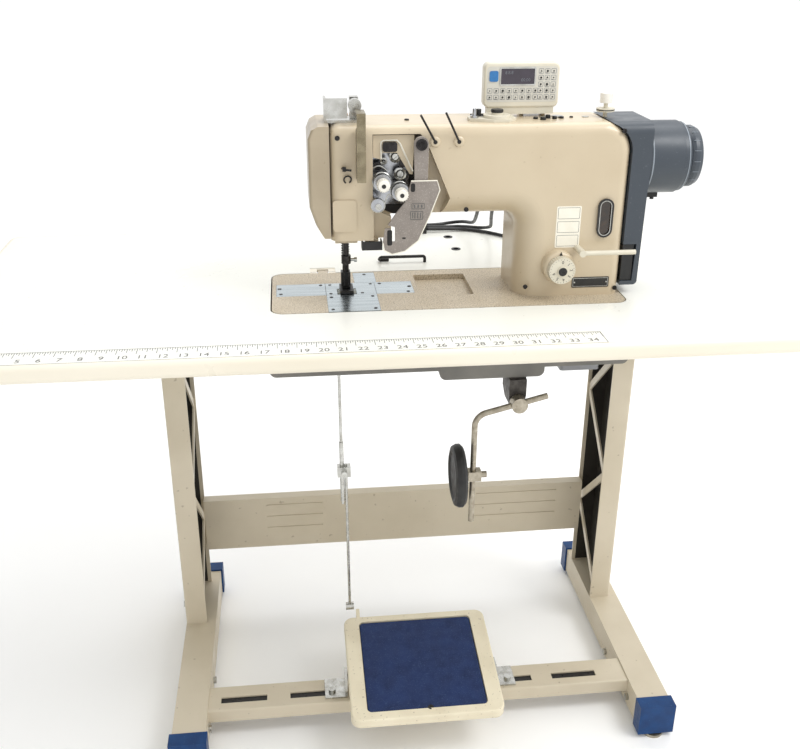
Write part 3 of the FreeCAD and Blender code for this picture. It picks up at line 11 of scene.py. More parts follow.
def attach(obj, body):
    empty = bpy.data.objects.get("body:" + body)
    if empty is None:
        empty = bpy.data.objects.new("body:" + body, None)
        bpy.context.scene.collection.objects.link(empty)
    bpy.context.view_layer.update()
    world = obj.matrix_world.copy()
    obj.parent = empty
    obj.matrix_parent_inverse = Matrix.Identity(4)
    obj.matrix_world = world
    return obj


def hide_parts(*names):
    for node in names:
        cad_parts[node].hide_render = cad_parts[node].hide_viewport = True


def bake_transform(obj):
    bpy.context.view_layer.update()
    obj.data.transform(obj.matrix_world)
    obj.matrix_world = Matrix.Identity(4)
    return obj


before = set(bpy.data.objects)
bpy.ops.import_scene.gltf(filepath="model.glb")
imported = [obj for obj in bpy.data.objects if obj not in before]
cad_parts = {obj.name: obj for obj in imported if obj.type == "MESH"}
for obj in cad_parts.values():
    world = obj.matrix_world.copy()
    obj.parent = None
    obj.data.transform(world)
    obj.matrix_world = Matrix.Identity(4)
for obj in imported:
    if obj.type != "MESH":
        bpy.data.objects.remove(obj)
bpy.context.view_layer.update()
print("nodes loaded:", len(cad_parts))

# %% [markdown]
# ## Camera
# The view is from above the operator's left shoulder. The camera is turned from three given angles:
# the matrix holds its right, up and backward directions as columns.

# %% Place the camera
mm = 0.001
eye = Vector((-104.9, -1431.5, 1228.7)) * mm
pitch, yaw, roll = np.radians([24.08, 6.55, -0.32])
ahead = Vector((np.sin(yaw) * np.cos(pitch), np.cos(yaw) * np.cos(pitch), -np.sin(pitch)))
level = Vector((np.cos(yaw), -np.sin(yaw), 0.0))
below = ahead.cross(level)
right = level * np.cos(roll) + below * np.sin(roll)
up = level * np.sin(roll) - below * np.cos(roll)
lens = bpy.data.cameras.new("camera")
lens.lens, lens.sensor_width = 43.57, 36.0
camera = bpy.data.objects.new("camera", lens)
camera.matrix_world = Matrix.Translation(eye) @ Matrix((right, up, -ahead)).transposed().to_4x4()
bpy.context.scene.collection.objects.link(camera)
bpy.context.scene.camera = camera
print("camera at", tuple(round(c, 3) for c in eye))

# %% [markdown]
# ## Light and floor
# Enamel only looks like enamel when it has something broad and pale to reflect. Bare bulbs would give
# hard spots, so most of the light is an even pale sky. A large soft lamp on the right gives the head its
# highlight, one overhead opens the shadows, and a black card well to the left darkens the left sides.
# The card stands outside the main view, but it shows in views from the left and from behind.

# %% Set the light
scene = bpy.context.scene
scene.view_settings.view_transform = "Standard"
scene.view_settings.look = "None"
world = bpy.data.worlds.new("studio")
scene.world = world
world.use_nodes = True
world.node_tree.nodes["Background"].inputs["Color"].default_value = (1.0, 1.0, 1.0, 1.0)
world.node_tree.nodes["Background"].inputs["Strength"].default_value = 1.06


def soft_lamp(name, place, aim, size, power):
    """A square area lamp at place that faces aim."""
    lamp = bpy.data.lights.new(name, "AREA")
    lamp.size, lamp.energy = size, power
    made = bpy.data.objects.new(name, lamp)
    towards = (Vector(aim) - Vector(place)).to_track_quat("-Z", "Y").to_matrix().to_4x4()
    made.matrix_world = Matrix.Translation(place) @ towards
    scene.collection.objects.link(made)


soft_lamp("key_lamp", (1.5, -0.9, 2.5), (0.1, 0.0, 0.8), 1.0, 24)
soft_lamp("top_lamp", (0.5, 0.6, 2.8), (0.1, 0.0, 0.8), 1.6, 18)
card_x, card_reach, card_low, card_high = -1.35, 1.2, 0.6, 1.9
card_corners = [(card_x, -card_reach, card_low), (card_x, card_reach, card_low),
                (card_x, card_reach, card_high), (card_x, -card_reach, card_high)]
card = bpy.data.meshes.new("shade_card")
card.from_pydata(card_corners, [], [[0, 1, 2, 3]])
card_black = bpy.data.materials.new("card_black")
card_black.use_nodes = True
card_black.node_tree.nodes["Principled BSDF"].inputs["Base Color"].default_value = (0.01, 0.01, 0.01, 1.0)
card.materials.append(card_black)
shade_card = bpy.data.objects.new("shade_card", card)
scene.collection.objects.link(shade_card)
print("lamps:", len(bpy.data.lights))

# %% [markdown]
# ## How a mesh is made here
# Each new piece is a sheet of points worked out at once with numpy, then given to Blender. Four shapes
# cover nearly everything on a machine: a turned profile, a flat outline with thickness, a tube along a
# path, and blocks.

# %% Shapes as arrays of points
FRONT, TOP, SIDE = "front", "top", "side"


def facing(points, way):
    """Turn points drawn about +Z so that their Z looks up (top), to the operator (front) or to +X (side)."""
    x, y, z = np.asarray(points, float).T
    turned = {TOP: (x, y, z), FRONT: (x, -z, y), SIDE: (z, x, y)}[way]
    return np.stack(turned, -1)


def ring_faces(rings, sides):
    """Quads from each ring of points to the next, all the way round, and one face to close each end."""
    i, j = np.arange(rings - 1)[:, None] * sides, np.arange(sides)
    walls = np.stack([i + j, i + (j + 1) % sides, i + sides + (j + 1) % sides, i + sides + j], -1)
    last = (rings - 1) * sides
    return walls.reshape(-1, 4).tolist() + [list(range(sides))[::-1], list(range(last, last + sides))]


def spun(profile, sides=40):
    """Points (r cos t, r sin t, h) for each pair (r, h) of the profile and each turn t, with closed ends."""
    r, h = np.array(profile, float).T
    t = np.linspace(0, 2 * np.pi, sides, endpoint=False)
    points = np.stack([np.outer(r, np.cos(t)), np.outer(r, np.sin(t)), np.outer(h, np.ones(sides))], -1)
    return points.reshape(-1, 3), ring_faces(len(r), sides)


def rod(r, low, high, sides):
    """A round bar: the profile (0, low), (r, low), (r, high), (0, high) spun about its axis."""
    return spun([(0, low), (r, low), (r, high), (0, high)], sides)


def cut_out(outline, low, high):
    """A flat outline, listed anticlockwise, given thickness from low to high."""
    flat = np.array(outline, float)
    n = len(flat)
    points = np.concatenate([np.c_[flat, np.full(n, low)], np.c_[flat, np.full(n, high)]])
    j = np.arange(n)
    walls = np.stack([j, (j + 1) % n, n + (j + 1) % n, n + j], -1)
    return points, walls.tolist() + [list(range(n))[::-1], list(range(n, 2 * n))]


def rounded(u0, v0, u1, v1, r, steps=6):
    """The outline of a rectangle whose corners are quarter circles of radius r."""
    t = np.linspace(0, np.pi / 2, steps)
    arc = np.stack([np.cos(t), np.sin(t)], -1) * r
    quarter = np.array([[0, -1], [1, 0]])
    parts, spin = [], np.eye(2)
    for corner in ((u1 - r, v1 - r), (u0 + r, v1 - r), (u0 + r, v0 + r), (u1 - r, v0 + r)):
        parts.append(arc @ spin.T + corner)
        spin = quarter @ spin
    return np.concatenate(parts)


def tube(path, radius, sides=12, aside=(0.3, 0.2, 1.0)):
    """A ring of radius r carried along the path, square to it at every point, with closed ends."""
    path = np.asarray(path, float)
    along = np.gradient(path, axis=0)
    along /= np.linalg.norm(along, axis=1)[:, None]
    across = np.cross(along, np.asarray(aside, float))
    across /= np.linalg.norm(across, axis=1)[:, None]
    over = np.cross(along, across)
    t = np.linspace(0, 2 * np.pi, sides, endpoint=False)[None, :, None]
    points = path[:, None] + radius * (np.cos(t) * across[:, None] + np.sin(t) * over[:, None])
    return points.reshape(-1, 3), ring_faces(len(path), sides)


def blocks(low, high):
    """Closed boxes from rows of low corners to rows of high corners."""
    low, high = np.atleast_2d(low).astype(float), np.atleast_2d(high).astype(float)
    corner = np.array([[0, 0, 0], [1, 0, 0], [1, 1, 0], [0, 1, 0], [0, 0, 1], [1, 0, 1], [1, 1, 1],
                       [0, 1, 1]])
    points = low[:, None] + (high - low)[:, None] * corner
    side = np.array([[3, 2, 1, 0], [4, 5, 6, 7], [0, 1, 5, 4], [1, 2, 6, 5], [2, 3, 7, 6], [3, 0, 4, 7]])
    return points.reshape(-1, 3), (side + 8 * np.arange(len(low))[:, None, None]).reshape(-1, 4).tolist()


def together(*shapes):
    """Several (points, faces) pairs as one."""
    points, faces, start = [], [], 0
    for p, f in shapes:
        points.append(p)
        faces += [[k + start for k in face] for face in f]
        start += len(p)
    return np.concatenate(points), faces


def at(shape, *place):
    """A shape moved to a place."""
    return shape[0] + np.array(place, float), shape[1]


def turned_to(shape, way):
    """A shape drawn about +Z, turned to look another way."""
    return facing(shape[0], way), shape[1]


def on_front(shape, *place):
    """A shape drawn about +Z, turned to the operator and moved to a place."""
    return at(turned_to(shape, FRONT), *place)


# %% [markdown]
# A finished shape becomes an object that rides on one body of the machine. The shapes above are in
# millimetres, like the drawing, and are made metres here.

# %% Make a piece
def piece(name, shape, finish, body, crease=35):
    """Make a smooth-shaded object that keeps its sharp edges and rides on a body."""
    points, faces = shape
    mesh = bpy.data.meshes.new(name)
    mesh.from_pydata((points * mm).tolist(), [], faces)
    mesh.update()
    mesh.materials.append(finish)
    mesh.shade_smooth()
    made = bpy.data.objects.new(name, mesh)
    scene.collection.objects.link(made)
    mesh.set_sharp_from_angle(angle=np.radians(crease))
    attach(made, body)
    return made


# %% [markdown]
# ## Finishes
# Nothing on a used machine is one flat colour. Each finish mixes two close tones with broad noise, varies
# its gloss the same way, and has a fine bump: orange peel on enamel, grain on moulded plastic, or a
# brushed run on steel. The even values sit on the shader itself, so that they export.

# %% Node helpers
def colour(r, g, b):
    """A screen colour, 0 to 255, as the linear colour that the shader wants."""
    c = np.array([r, g, b]) / 255
    linear = np.where(c <= 0.04045, c / 12.92, ((c + 0.055) / 1.055) ** 2.4)
    return (*linear.tolist(), 1.0)


class Finish:
    """A material with a noise for its tone, one for its gloss and one for its bump."""

    def __init__(self, name, tone, rough, metal=0.0, specular=0.5, coat=0.0):
        """Start from one even tone, 0 to 255, and an even roughness."""
        self.material = bpy.data.materials.new(name)
        self.material.use_nodes = True
        self.tree = self.material.node_tree
        self.shader = self.tree.nodes["Principled BSDF"]
        self.shader.inputs["Metallic"].default_value = metal
        self.shader.inputs["Specular IOR Level"].default_value = specular
        self.shader.inputs["Coat Weight"].default_value = coat
        self.shader.inputs["Coat Roughness"].default_value = 0.12
        self.shader.inputs["Roughness"].default_value = rough
        self.rough = rough
        self.where = self.tree.nodes.new("ShaderNodeTexCoord").outputs["Object"]
        self.tone = self.tree.nodes.new("ShaderNodeRGB").outputs[0]
        self.tone.default_value = colour(*tone)

    def noise(self, size, detail=3.0, stretch=(1, 1, 1)):
        """Noise whose features are about size millimetres across."""
        moved = self.tree.nodes.new("ShaderNodeMapping")
        moved.inputs["Scale"].default_value = stretch
        self.tree.links.new(self.where, moved.inputs["Vector"])
        made = self.tree.nodes.new("ShaderNodeTexNoise")
        made.inputs["Scale"].default_value = 1000 / size
        made.inputs["Detail"].default_value = detail
        self.tree.links.new(moved.outputs[0], made.inputs["Vector"])
        return made.outputs["Fac"]

    def between(self, value, low, high, to_low=0.0, to_high=1.0):
        """A value from low to high, spread over to_low to to_high and held there."""
        made = self.tree.nodes.new("ShaderNodeMapRange")
        for socket, number in zip(("From Min", "From Max", "To Min", "To Max"),
                                  (low, high, to_low, to_high)):
            made.inputs[socket].default_value = number
        self.tree.links.new(value, made.inputs["Value"])
        return made.outputs["Result"]

    def stain(self, share, tone, strength=1.0):
        """Lay another tone over the one so far, by share."""
        made = self.tree.nodes.new("ShaderNodeMix")
        made.data_type = "RGBA"
        self.tree.links.new(self.between(share, 0, 1, 0, strength), made.inputs["Factor"])
        self.tree.links.new(self.tone, made.inputs["A"])
        made.inputs["B"].default_value = colour(*tone)
        self.tone = made.outputs["Result"]
        return self

    def mottle(self, size, tone, strength=0.5, stretch=(1, 1, 1)):
        """Soft clouds of another tone, size millimetres across."""
        return self.stain(self.between(self.noise(size, 4, stretch), 0.35, 0.7), tone, strength)

    def specks(self, size, tone, strength=0.8, low=0.62, high=0.68):
        """Small sharp specks of another tone."""
        return self.stain(self.between(self.noise(size, 1), low, high), tone, strength)

    def gloss(self, size, spread=0.1, stretch=(1, 1, 1)):
        """Smears where the gloss differs by spread either way."""
        varied = self.between(self.noise(size, 3, stretch), 0.3, 0.7, self.rough - spread,
                              self.rough + spread)
        self.tree.links.new(varied, self.shader.inputs["Roughness"])
        return self

    def bump(self, size, height, stretch=(1, 1, 1), detail=2.0):
        """A fine relief, size millimetres across and height millimetres deep."""
        made = self.tree.nodes.new("ShaderNodeBump")
        made.inputs["Strength"].default_value = 0.6
        made.inputs["Distance"].default_value = height * mm
        self.tree.links.new(self.noise(size, detail, stretch), made.inputs["Height"])
        self.tree.links.new(made.outputs[0], self.shader.inputs["Normal"])
        return self

    def done(self):
        """Join the finished tone to the shader and hand over the material."""
        self.tree.links.new(self.tone, self.shader.inputs["Base Color"])
        return self.material


# %% [markdown]
# ### Enamel and paint
# The head is a casting, filled, rubbed down and sprayed cream. Close to, that shows as orange peel, faint
# darker clouds where oil has soaked in, and the odd dark fleck. The bed wears more, so it is speckled.

# %% Enamels
head_enamel = (Finish("head_enamel", (203, 188, 161), 0.34, coat=0.25).mottle(90, (190, 173, 145), 0.5)
               .specks(7, (140, 118, 88), 0.2, 0.74, 0.78).gloss(30, 0.06).bump(2.2, 0.05).done())
# The face plate gets a darker copy of the head enamel: painted shade for the end of the head.
face_shaded_enamel = (Finish("face_shaded_enamel", (176, 162, 138), 0.36, coat=0.2).mottle(60, (158, 143, 118), 0.5)
               .specks(6, (110, 88, 60), 0.2, 0.74, 0.78).gloss(25, 0.06).bump(2.2, 0.05).done())
bed_enamel = (Finish("bed_enamel", (198, 185, 162), 0.42).mottle(40, (188, 174, 150), 0.6)
              .specks(2.0, (128, 112, 88), 0.75, 0.54, 0.6).specks(1.2, (236, 228, 208), 0.5, 0.6, 0.66)
              .gloss(20, 0.08).bump(1.6, 0.1).done())
stand_enamel = (Finish("stand_enamel", (205, 194, 172), 0.4).mottle(120, (188, 176, 152), 0.6)
                .specks(9, (120, 104, 84), 0.4, 0.74, 0.78).gloss(60, 0.08).bump(1.4, 0.07).done())
treadle_enamel = (Finish("treadle_enamel", (232, 222, 196), 0.4).mottle(60, (210, 198, 170), 0.6)
                  .specks(4, (120, 104, 84), 0.5, 0.7, 0.74).gloss(30, 0.08).bump(1.8, 0.1).done())
mauve_enamel = (Finish("mauve_enamel", (145, 137, 130), 0.45, specular=0.35)
                .mottle(14, (128, 120, 114), 0.7).specks(1.4, (190, 184, 176), 0.35, 0.6, 0.68)
                .gloss(10, 0.08).bump(0.9, 0.05).done())
pan_paint = (Finish("pan_paint", (120, 117, 110), 0.5).mottle(60, (92, 90, 86), 0.7).gloss(40, 0.1)
             .bump(1.5, 0.08).done())
cast_iron = (Finish("cast_iron", (84, 80, 76), 0.55, 0.6).mottle(8, (56, 52, 50), 0.8).gloss(8, 0.12)
             .bump(1.2, 0.25).done())

# %% [markdown]
# ### Steel, zinc and bronze
# Polished plates and bars are metal with a low roughness. The ground plates show faint lines one way,
# from a noise squeezed across and stretched along. Bolts and lugs are bright zinc with a cloudy bloom.

# %% Metals
ground_steel = (Finish("ground_steel", (196, 205, 208), 0.24, 1.0)
                .mottle(30, (160, 170, 176), 0.6, (0.2, 4, 1)).gloss(6, 0.1, (0.1, 6, 1))
                .bump(1.0, 0.01, (0.05, 6, 1)).done())
turned_steel = (Finish("turned_steel", (188, 190, 194), 0.22, 1.0).mottle(12, (140, 142, 148), 0.6)
                .gloss(8, 0.09).bump(0.8, 0.01, (1, 1, 5)).done())
dark_steel = (Finish("dark_steel", (62, 60, 60), 0.3, 0.9).mottle(6, (34, 32, 32), 0.7).gloss(6, 0.1)
              .bump(0.8, 0.02).done())
bright_zinc = (Finish("bright_zinc", (206, 206, 202), 0.26, 1.0).mottle(14, (160, 158, 150), 0.7)
               .gloss(10, 0.12).bump(2, 0.03).done())
old_zinc = (Finish("old_zinc", (178, 170, 154), 0.36, 0.85).mottle(9, (128, 118, 100), 0.7).gloss(8, 0.12)
            .bump(1.5, 0.04).done())
# This black serves for blackened steel and also as painted shade: the back of the tension recess, the
# changeover plate's slots and the treadle bar's slots.
black_oxide_and_shade = (Finish("black_oxide_and_shade", (26, 25, 25), 0.35, 0.3).mottle(6, (44, 42, 40), 0.6).gloss(6, 0.1)
               .bump(0.8, 0.02).done())
bush_bronze = (Finish("bush_bronze", (176, 138, 84), 0.3, 1.0).mottle(8, (140, 104, 60), 0.6).gloss(8, 0.1)
               .bump(0.8, 0.01, (1, 1, 5)).done())
guard_metal = (Finish("guard_metal", (150, 140, 116), 0.3, 0.8).mottle(12, (104, 94, 74), 0.6).gloss(8, 0.1)
               .bump(1.0, 0.02).done())

# %% [markdown]
# ### Plastics, rubber and laminate
# Moulded cases have a fine grain. The table top is a pale laminate with a slight ripple and small dirt
# specks; its edging is the same stuff, a little yellower with age.

# %% Plastics
laminate = (Finish("laminate", (238, 238, 231), 0.32, coat=0.1).mottle(220, (229, 229, 220), 0.7)
            .specks(5, (168, 160, 140), 0.45, 0.74, 0.78).gloss(140, 0.06).bump(9, 0.02).done())
edging = (Finish("edging", (240, 233, 216), 0.32, coat=0.15).mottle(160, (226, 217, 196), 0.7, (0.3, 1, 1))
          .gloss(60, 0.06).bump(5, 0.03).done())
cream_plastic = (Finish("cream_plastic", (216, 210, 192), 0.38).mottle(30, (202, 195, 176), 0.5)
                 .gloss(12, 0.06).bump(0.7, 0.03).done())
keypad_film = (Finish("keypad_film", (206, 203, 192), 0.42).mottle(20, (192, 189, 178), 0.5).gloss(9, 0.05)
               .bump(0.5, 0.015).done())
white_knob = (Finish("white_knob", (240, 237, 228), 0.28, coat=0.2).mottle(8, (222, 217, 204), 0.5)
              .gloss(6, 0.05).bump(1, 0.02).done())
slate_plastic = (Finish("slate_plastic", (62, 69, 77), 0.36).mottle(50, (60, 67, 76), 0.6)
                 .specks(3, (110, 116, 122), 0.3, 0.7, 0.76).gloss(20, 0.06).bump(0.8, 0.04).done())
pale_slate = (Finish("pale_slate", (140, 148, 156), 0.34).mottle(30, (120, 128, 138), 0.5).gloss(15, 0.06)
              .bump(0.8, 0.03).done())
cap_plastic = (Finish("cap_plastic", (8, 60, 112), 0.4, specular=0.3).mottle(18, (5, 44, 90), 0.7)
               .specks(3, (80, 120, 160), 0.3, 0.7, 0.76).gloss(10, 0.08).bump(1.0, 0.05).done())
mat_rubber = (Finish("mat_rubber", (24, 46, 92), 0.55, specular=0.35).mottle(24, (17, 34, 72), 0.7)
              .specks(1.6, (70, 92, 130), 0.45, 0.62, 0.68).gloss(12, 0.08).bump(1.4, 0.12).done())
black_plastic = (Finish("black_plastic", (30, 30, 31), 0.38).mottle(10, (18, 18, 19), 0.6).gloss(8, 0.08)
                 .bump(0.7, 0.03).done())
black_rubber = (Finish("black_rubber", (28, 28, 28), 0.55).mottle(14, (44, 42, 40), 0.6).gloss(10, 0.1)
                .bump(1.2, 0.06).done())
case_grey = (Finish("case_grey", (140, 141, 143), 0.42).mottle(40, (120, 120, 123), 0.6).gloss(20, 0.06)
             .bump(0.9, 0.04).done())
sheath = (Finish("cable_sheath", (30, 30, 31), 0.42).mottle(16, (46, 46, 47), 0.6).gloss(9, 0.1)
          .bump(1.0, 0.04).done())
print_ink = (Finish("print_ink", (84, 84, 82), 0.5).mottle(6, (120, 120, 116), 0.5).gloss(5, 0.06)
             .bump(1, 0.01).done())
plate_black = (Finish("plate_black", (30, 29, 28), 0.34).mottle(8, (46, 44, 42), 0.6).gloss(6, 0.08)
               .bump(0.6, 0.02).done())
# This pale film serves for the blank label and also as painted highlight along the recess rim and the
# changeover plate's edge.
label_film_and_highlight = (Finish("label_film_and_highlight", (240, 236, 222), 0.36).mottle(12, (228, 223, 206), 0.5).gloss(8, 0.05)
              .bump(1, 0.01).done())
screen_glass = (Finish("screen_glass", (46, 38, 50), 0.12, coat=0.6).mottle(14, (58, 50, 64), 0.6)
                .gloss(10, 0.04).bump(4, 0.005).done())
sight_glass = (Finish("sight_glass", (34, 26, 20), 0.1, coat=0.6).mottle(10, (70, 52, 34), 0.6)
               .gloss(8, 0.04).bump(3, 0.01).done())
key_blue = (Finish("key_blue", (46, 116, 176), 0.36).mottle(4, (34, 96, 154), 0.5).gloss(4, 0.05)
            .bump(0.6, 0.01).done())
key_mark = (Finish("key_mark", (96, 100, 108), 0.4).mottle(3, (120, 124, 130), 0.5).gloss(4, 0.05)
            .bump(0.6, 0.01).done())
# leg_shade is a near-black brown used as painted shade inside the channel legs.
leg_shade = (Finish("leg_shade", (44, 40, 32), 0.6).mottle(40, (30, 27, 20), 0.7).gloss(30, 0.08)
             .bump(1.5, 0.05).done())
floor_finish = (Finish("floor_finish", (255, 255, 254), 0.7, specular=0.3).mottle(400, (251, 251, 250), 0.5)
                .gloss(200, 0.05).bump(30, 0.02).done())
print("finishes:", len(bpy.data.materials))

# %% [markdown]
# ## Dress the CAD parts
# A CAD part keeps its mesh and only changes its material.

# %% Finishes for the CAD parts
dressing = {
    laminate: ["table_top"], edging: ["table_edge_band", "hinge_cups"],
    stand_enamel: ["left_leg", "right_leg", "foot_bars", "rear_crossbeam", "treadle_bar"],
    treadle_enamel: ["treadle"], mat_rubber: ["treadle_mat"], cap_plastic: ["foot_caps"],
    old_zinc: ["levelling_glides", "knee_rod", "pedal_lever"],
    bright_zinc: ["treadle_brackets", "stand_bolts", "pretension_unit", "pitman_rods"],
    pan_paint: ["oil_pan"], cast_iron: ["knee_bracket"], case_grey: ["control_box", "speed_unit"],
    black_rubber: ["knee_pad", "cable_gland", "timing_belt"],
    black_oxide_and_shade: ["wire_staple", "presser_foot"],
    ground_steel: ["bed_plates", "feed_dog"],
    turned_steel: ["main_shaft", "lower_shaft", "left_hook", "right_hook", "pivot_pins", "tension_unit",
                   "winder_spindle", "take_up_lever"],
    dark_steel: ["needle_bar", "presser_bar", "thread_pins"],
    bush_bronze: ["shaft_bushes"], guard_metal: ["front_guards"],
    head_enamel: ["arm_casting", "rear_cover"], bed_enamel: ["bed_casting"], face_shaded_enamel: ["face_plate"],
    slate_plastic: ["motor_cover", "motor_housing", "handwheel"],
    cream_plastic: ["control_panel", "stitch_dial", "reverse_lever", "winder_base"],
    white_knob: ["left_tension_knob", "right_tension_knob", "winder_tension_knob"],
    mauve_enamel: ["changeover_lever"], black_plastic: ["quick_reverse_button"],
    sight_glass: ["oil_window"],
}
dressed = 0
for finish, names in dressing.items():
    for name in names:
        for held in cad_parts[name].material_slots:
            held.material = finish
        dressed += 1
print("parts dressed:", dressed, "of", len(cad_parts))

# %% [markdown]
# ## Cables
# Three cables leave the rear cover, drop in a slack curve behind the arm and run over the table to the
# gland. A rope simulation could drape them, but a short fixed cable is quicker to lay: each is a
# smooth spline through a few listed corners, given a round sheath.

# %% Lay the cables
routes = {
    "switch_cable": [(0.188, 0.006, 0.884), (0.188, 0.036, 0.884), (0.193, 0.068, 0.850),
                     (0.199, 0.114, 0.818),
                     (0.206, 0.168, 0.792), (0.213, 0.226, 0.773), (0.203, 0.268, 0.765),
                     (0.178, 0.287, 0.757),
                     (0.156, 0.277, 0.757), (0.134, 0.277, 0.757)],
    "panel_cable": [(0.212, 0.006, 0.884), (0.212, 0.036, 0.884), (0.216, 0.070, 0.846),
                    (0.224, 0.118, 0.812),
                    (0.236, 0.172, 0.784), (0.246, 0.224, 0.765), (0.236, 0.260, 0.7536),
                    (0.204, 0.275, 0.7536),
                    (0.166, 0.265, 0.756), (0.134, 0.264, 0.757)],
    "motor_cable": [(0.306, 0.006, 0.800), (0.306, 0.040, 0.800), (0.303, 0.086, 0.782),
                    (0.294, 0.142, 0.761),
                    (0.272, 0.200, 0.7536), (0.238, 0.236, 0.7536), (0.202, 0.257, 0.7536),
                    (0.164, 0.252, 0.756),
                    (0.134, 0.251, 0.757)]}
cable_r = 0.003
for name, corners in routes.items():
    line = bpy.data.curves.new(name + "_line", "CURVE")
    line.dimensions = "3D"
    line.resolution_u = 10
    spline = line.splines.new("NURBS")
    spline.points.add(len(corners) - 1)
    for point, corner in zip(spline.points, corners):
        point.co = (*corner, 1.0)
    spline.order_u = 3
    spline.use_endpoint_u = True
    drawn = bpy.data.objects.new(name + "_line", line)
    path = [v.co.copy() for v in bpy.data.meshes.new_from_object(drawn).vertices]
    bpy.data.objects.remove(drawn)
    points, faces = tube(path, cable_r)
    mesh = bpy.data.meshes.new(name)
    mesh.from_pydata(points.tolist(), [], faces)
    mesh.materials.append(sheath)
    mesh.shade_smooth()
    cable = bpy.data.objects.new(name, mesh)
    scene.collection.objects.link(cable)
    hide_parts("head_cables")
    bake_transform(cable)

# %% [markdown]
# ## The printed ruler
# A scale in inches runs along the front edge of the table, for measuring a hem against it. It could be
# an image, but ink with a real thickness stays sharp at any distance. An inch is 25.4 mm, and the ticks
# stand at every eighth: u = 25.4 k / 8, longest at the inch and shortest at the eighth.

# %% Print the ruler
INK = 0.12
table_z = 750


def lettering(words, size, way, low=0.0, high=INK, turn=0.0):
    """Words as flat letters of a given height, with thickness from low to high, about their middle."""
    text = bpy.data.curves.new("words", "FONT")
    text.body, text.size, text.align_x, text.align_y = words, size, "CENTER", "CENTER"
    text.extrude = (high - low) / 2
    text.resolution_u = 3
    holder = bpy.data.objects.new("words", text)
    mesh = bpy.data.meshes.new_from_object(holder)
    points = np.array([v.co for v in mesh.vertices])
    faces = [list(p.vertices) for p in mesh.polygons]
    bpy.data.objects.remove(holder)
    bpy.data.meshes.remove(mesh)
    c, s = np.cos(turn), np.sin(turn)
    points = points @ np.array([[c, s, 0], [-s, c, 0], [0, 0, 1]]) + (0, 0, (low + high) / 2)
    return facing(points, way), faces


mm_per_inch = 25.4
ruler_inches = 35
ruler_start, tick_root = -588, -253
eighth = mm_per_inch / 8
k = np.arange(0, 8 * ruler_inches + 1)
reach = np.where(k % 8 == 0, 17.0, np.where(k % 4 == 0, 12.0, np.where(k % 2 == 0, 8.5, 5.5)))
u = ruler_start + k * eighth
ink_top = table_z + INK
ticks = blocks(np.c_[u - 0.4, tick_root - reach, table_z + 0 * u],
               np.c_[u + 0.4, tick_root + 0 * u, np.full(len(k), ink_top)])
end = ruler_start + 8 * ruler_inches * eighth
rules = blocks([[ruler_start, -292, table_z], [ruler_start, -253.6, table_z], [end, -292, table_z]],
               [[end, -291.2, ink_top], [end, -252.8, ink_top], [end + 0.8, -252.8, ink_top]])
inch_figures = [at(lettering(str(inch), 15, TOP), ruler_start + mm_per_inch * inch + 9, -281, table_z)
                for inch in range(ruler_inches)]
piece("table_ruler", together(ticks, rules, *inch_figures), print_ink, "stand")
print("ruler ticks:", len(k))

# %% [markdown]
# ## The control panel
# The keypad is a printed film. Its screen sits in a bright rim beside a blue key, and small marks for
# the stitch patterns fill the rest in rows. Each is a thin outline with its own thickness, so the film
# reads as layers. The marks are plain polygons that grow and turn from one key to the next.

# %% Screen, keys and marks
face_y = -46.0
film = cut_out(rounded(174.5, 1022, 276, 1070.5, 5), 0, 0.3)
piece("keypad_film_sheet", on_front(film, 0, face_y, 0), keypad_film, "control_panel")


def frame_of(u0, v0, u1, v1, wide, low, high, r=2.0):
    """A rectangular rim: two rounded outlines joined at low and high."""
    outer = rounded(u0, v0, u1, v1, r)
    inner = rounded(u0 + wide, v0 + wide, u1 - wide, v1 - wide, max(r - wide, 0.3))
    n = len(outer)
    points = np.concatenate([np.c_[ring, np.full(n, h)] for ring, h in
                             ((outer, low), (outer, high), (inner, high), (inner, low))])
    j = np.arange(n)
    faces = [np.stack([a * n + j, a * n + (j + 1) % n, b * n + (j + 1) % n, b * n + j], -1)
             for a, b in ((0, 1), (1, 2), (2, 3), (3, 0))]
    return points, np.concatenate(faces).tolist()


rim = frame_of(192.5, 1044.5, 244.5, 1069.5, 2.0, 0.2, 1.2)
piece("screen_rim", on_front(rim, 0, face_y, 0), bright_zinc, "control_panel")
glass = cut_out(rounded(194.3, 1046.3, 242.7, 1067.7, 1), -1.6, 0.7)
piece("screen_window", on_front(glass, 0, face_y, 0), screen_glass, "control_panel")
digits = [at(lettering("8.8.8", 6, FRONT, 0.7, 0.8), 206, face_y, 1062),
          at(lettering("00:00", 6, FRONT, 0.7, 0.8), 230, face_y, 1052)]
piece("screen_digits", together(*digits), key_mark, "control_panel")
key = cut_out(rounded(178, 1050, 190.5, 1064.5, 2.5), 0.2, 1.4)
piece("start_key", on_front(key, 0, face_y, 0), key_blue, "control_panel")
marks = [(179 + 9.4 * column, v) for v in (1037.5, 1028.5) for column in range(8)]
marks += [(u, v) for v in (1064, 1055, 1046, 1037.5, 1028.5) for u in (252, 261, 270)]
keys, icons = [], []
for number, (u, v) in enumerate(marks):
    keys.append(frame_of(u - 3.6, v - 3.4, u + 3.6, v + 3.4, 0.45, 0.3, 0.45, 1.2))
    sides = 3 + number % 4
    angle = np.linspace(0, 2 * np.pi, sides, endpoint=False) + 0.5 * number
    size = 1.3 + 0.35 * (number % 3)
    icons.append(cut_out(np.stack([u + size * np.cos(angle), v + size * np.sin(angle)], -1), 0.3, 0.5))
    icons.append(blocks([u - 2.4, v - 2.6, 0.3], [u + 0.5 * (number % 5) - 0.4, v - 2.1, 0.5]))
piece("keypad_keys", on_front(together(*keys), 0, face_y, 0), key_mark, "control_panel")
piece("keypad_icons", on_front(together(*icons), 0, face_y, 0), plate_black, "control_panel")
arm_top = 1001
piece("panel_support_post", at(spun([(2.2, 0), (2.2, 12.5)], 16), 198, -36, arm_top), black_plastic, "head")
print("keys on the film:", len(marks))

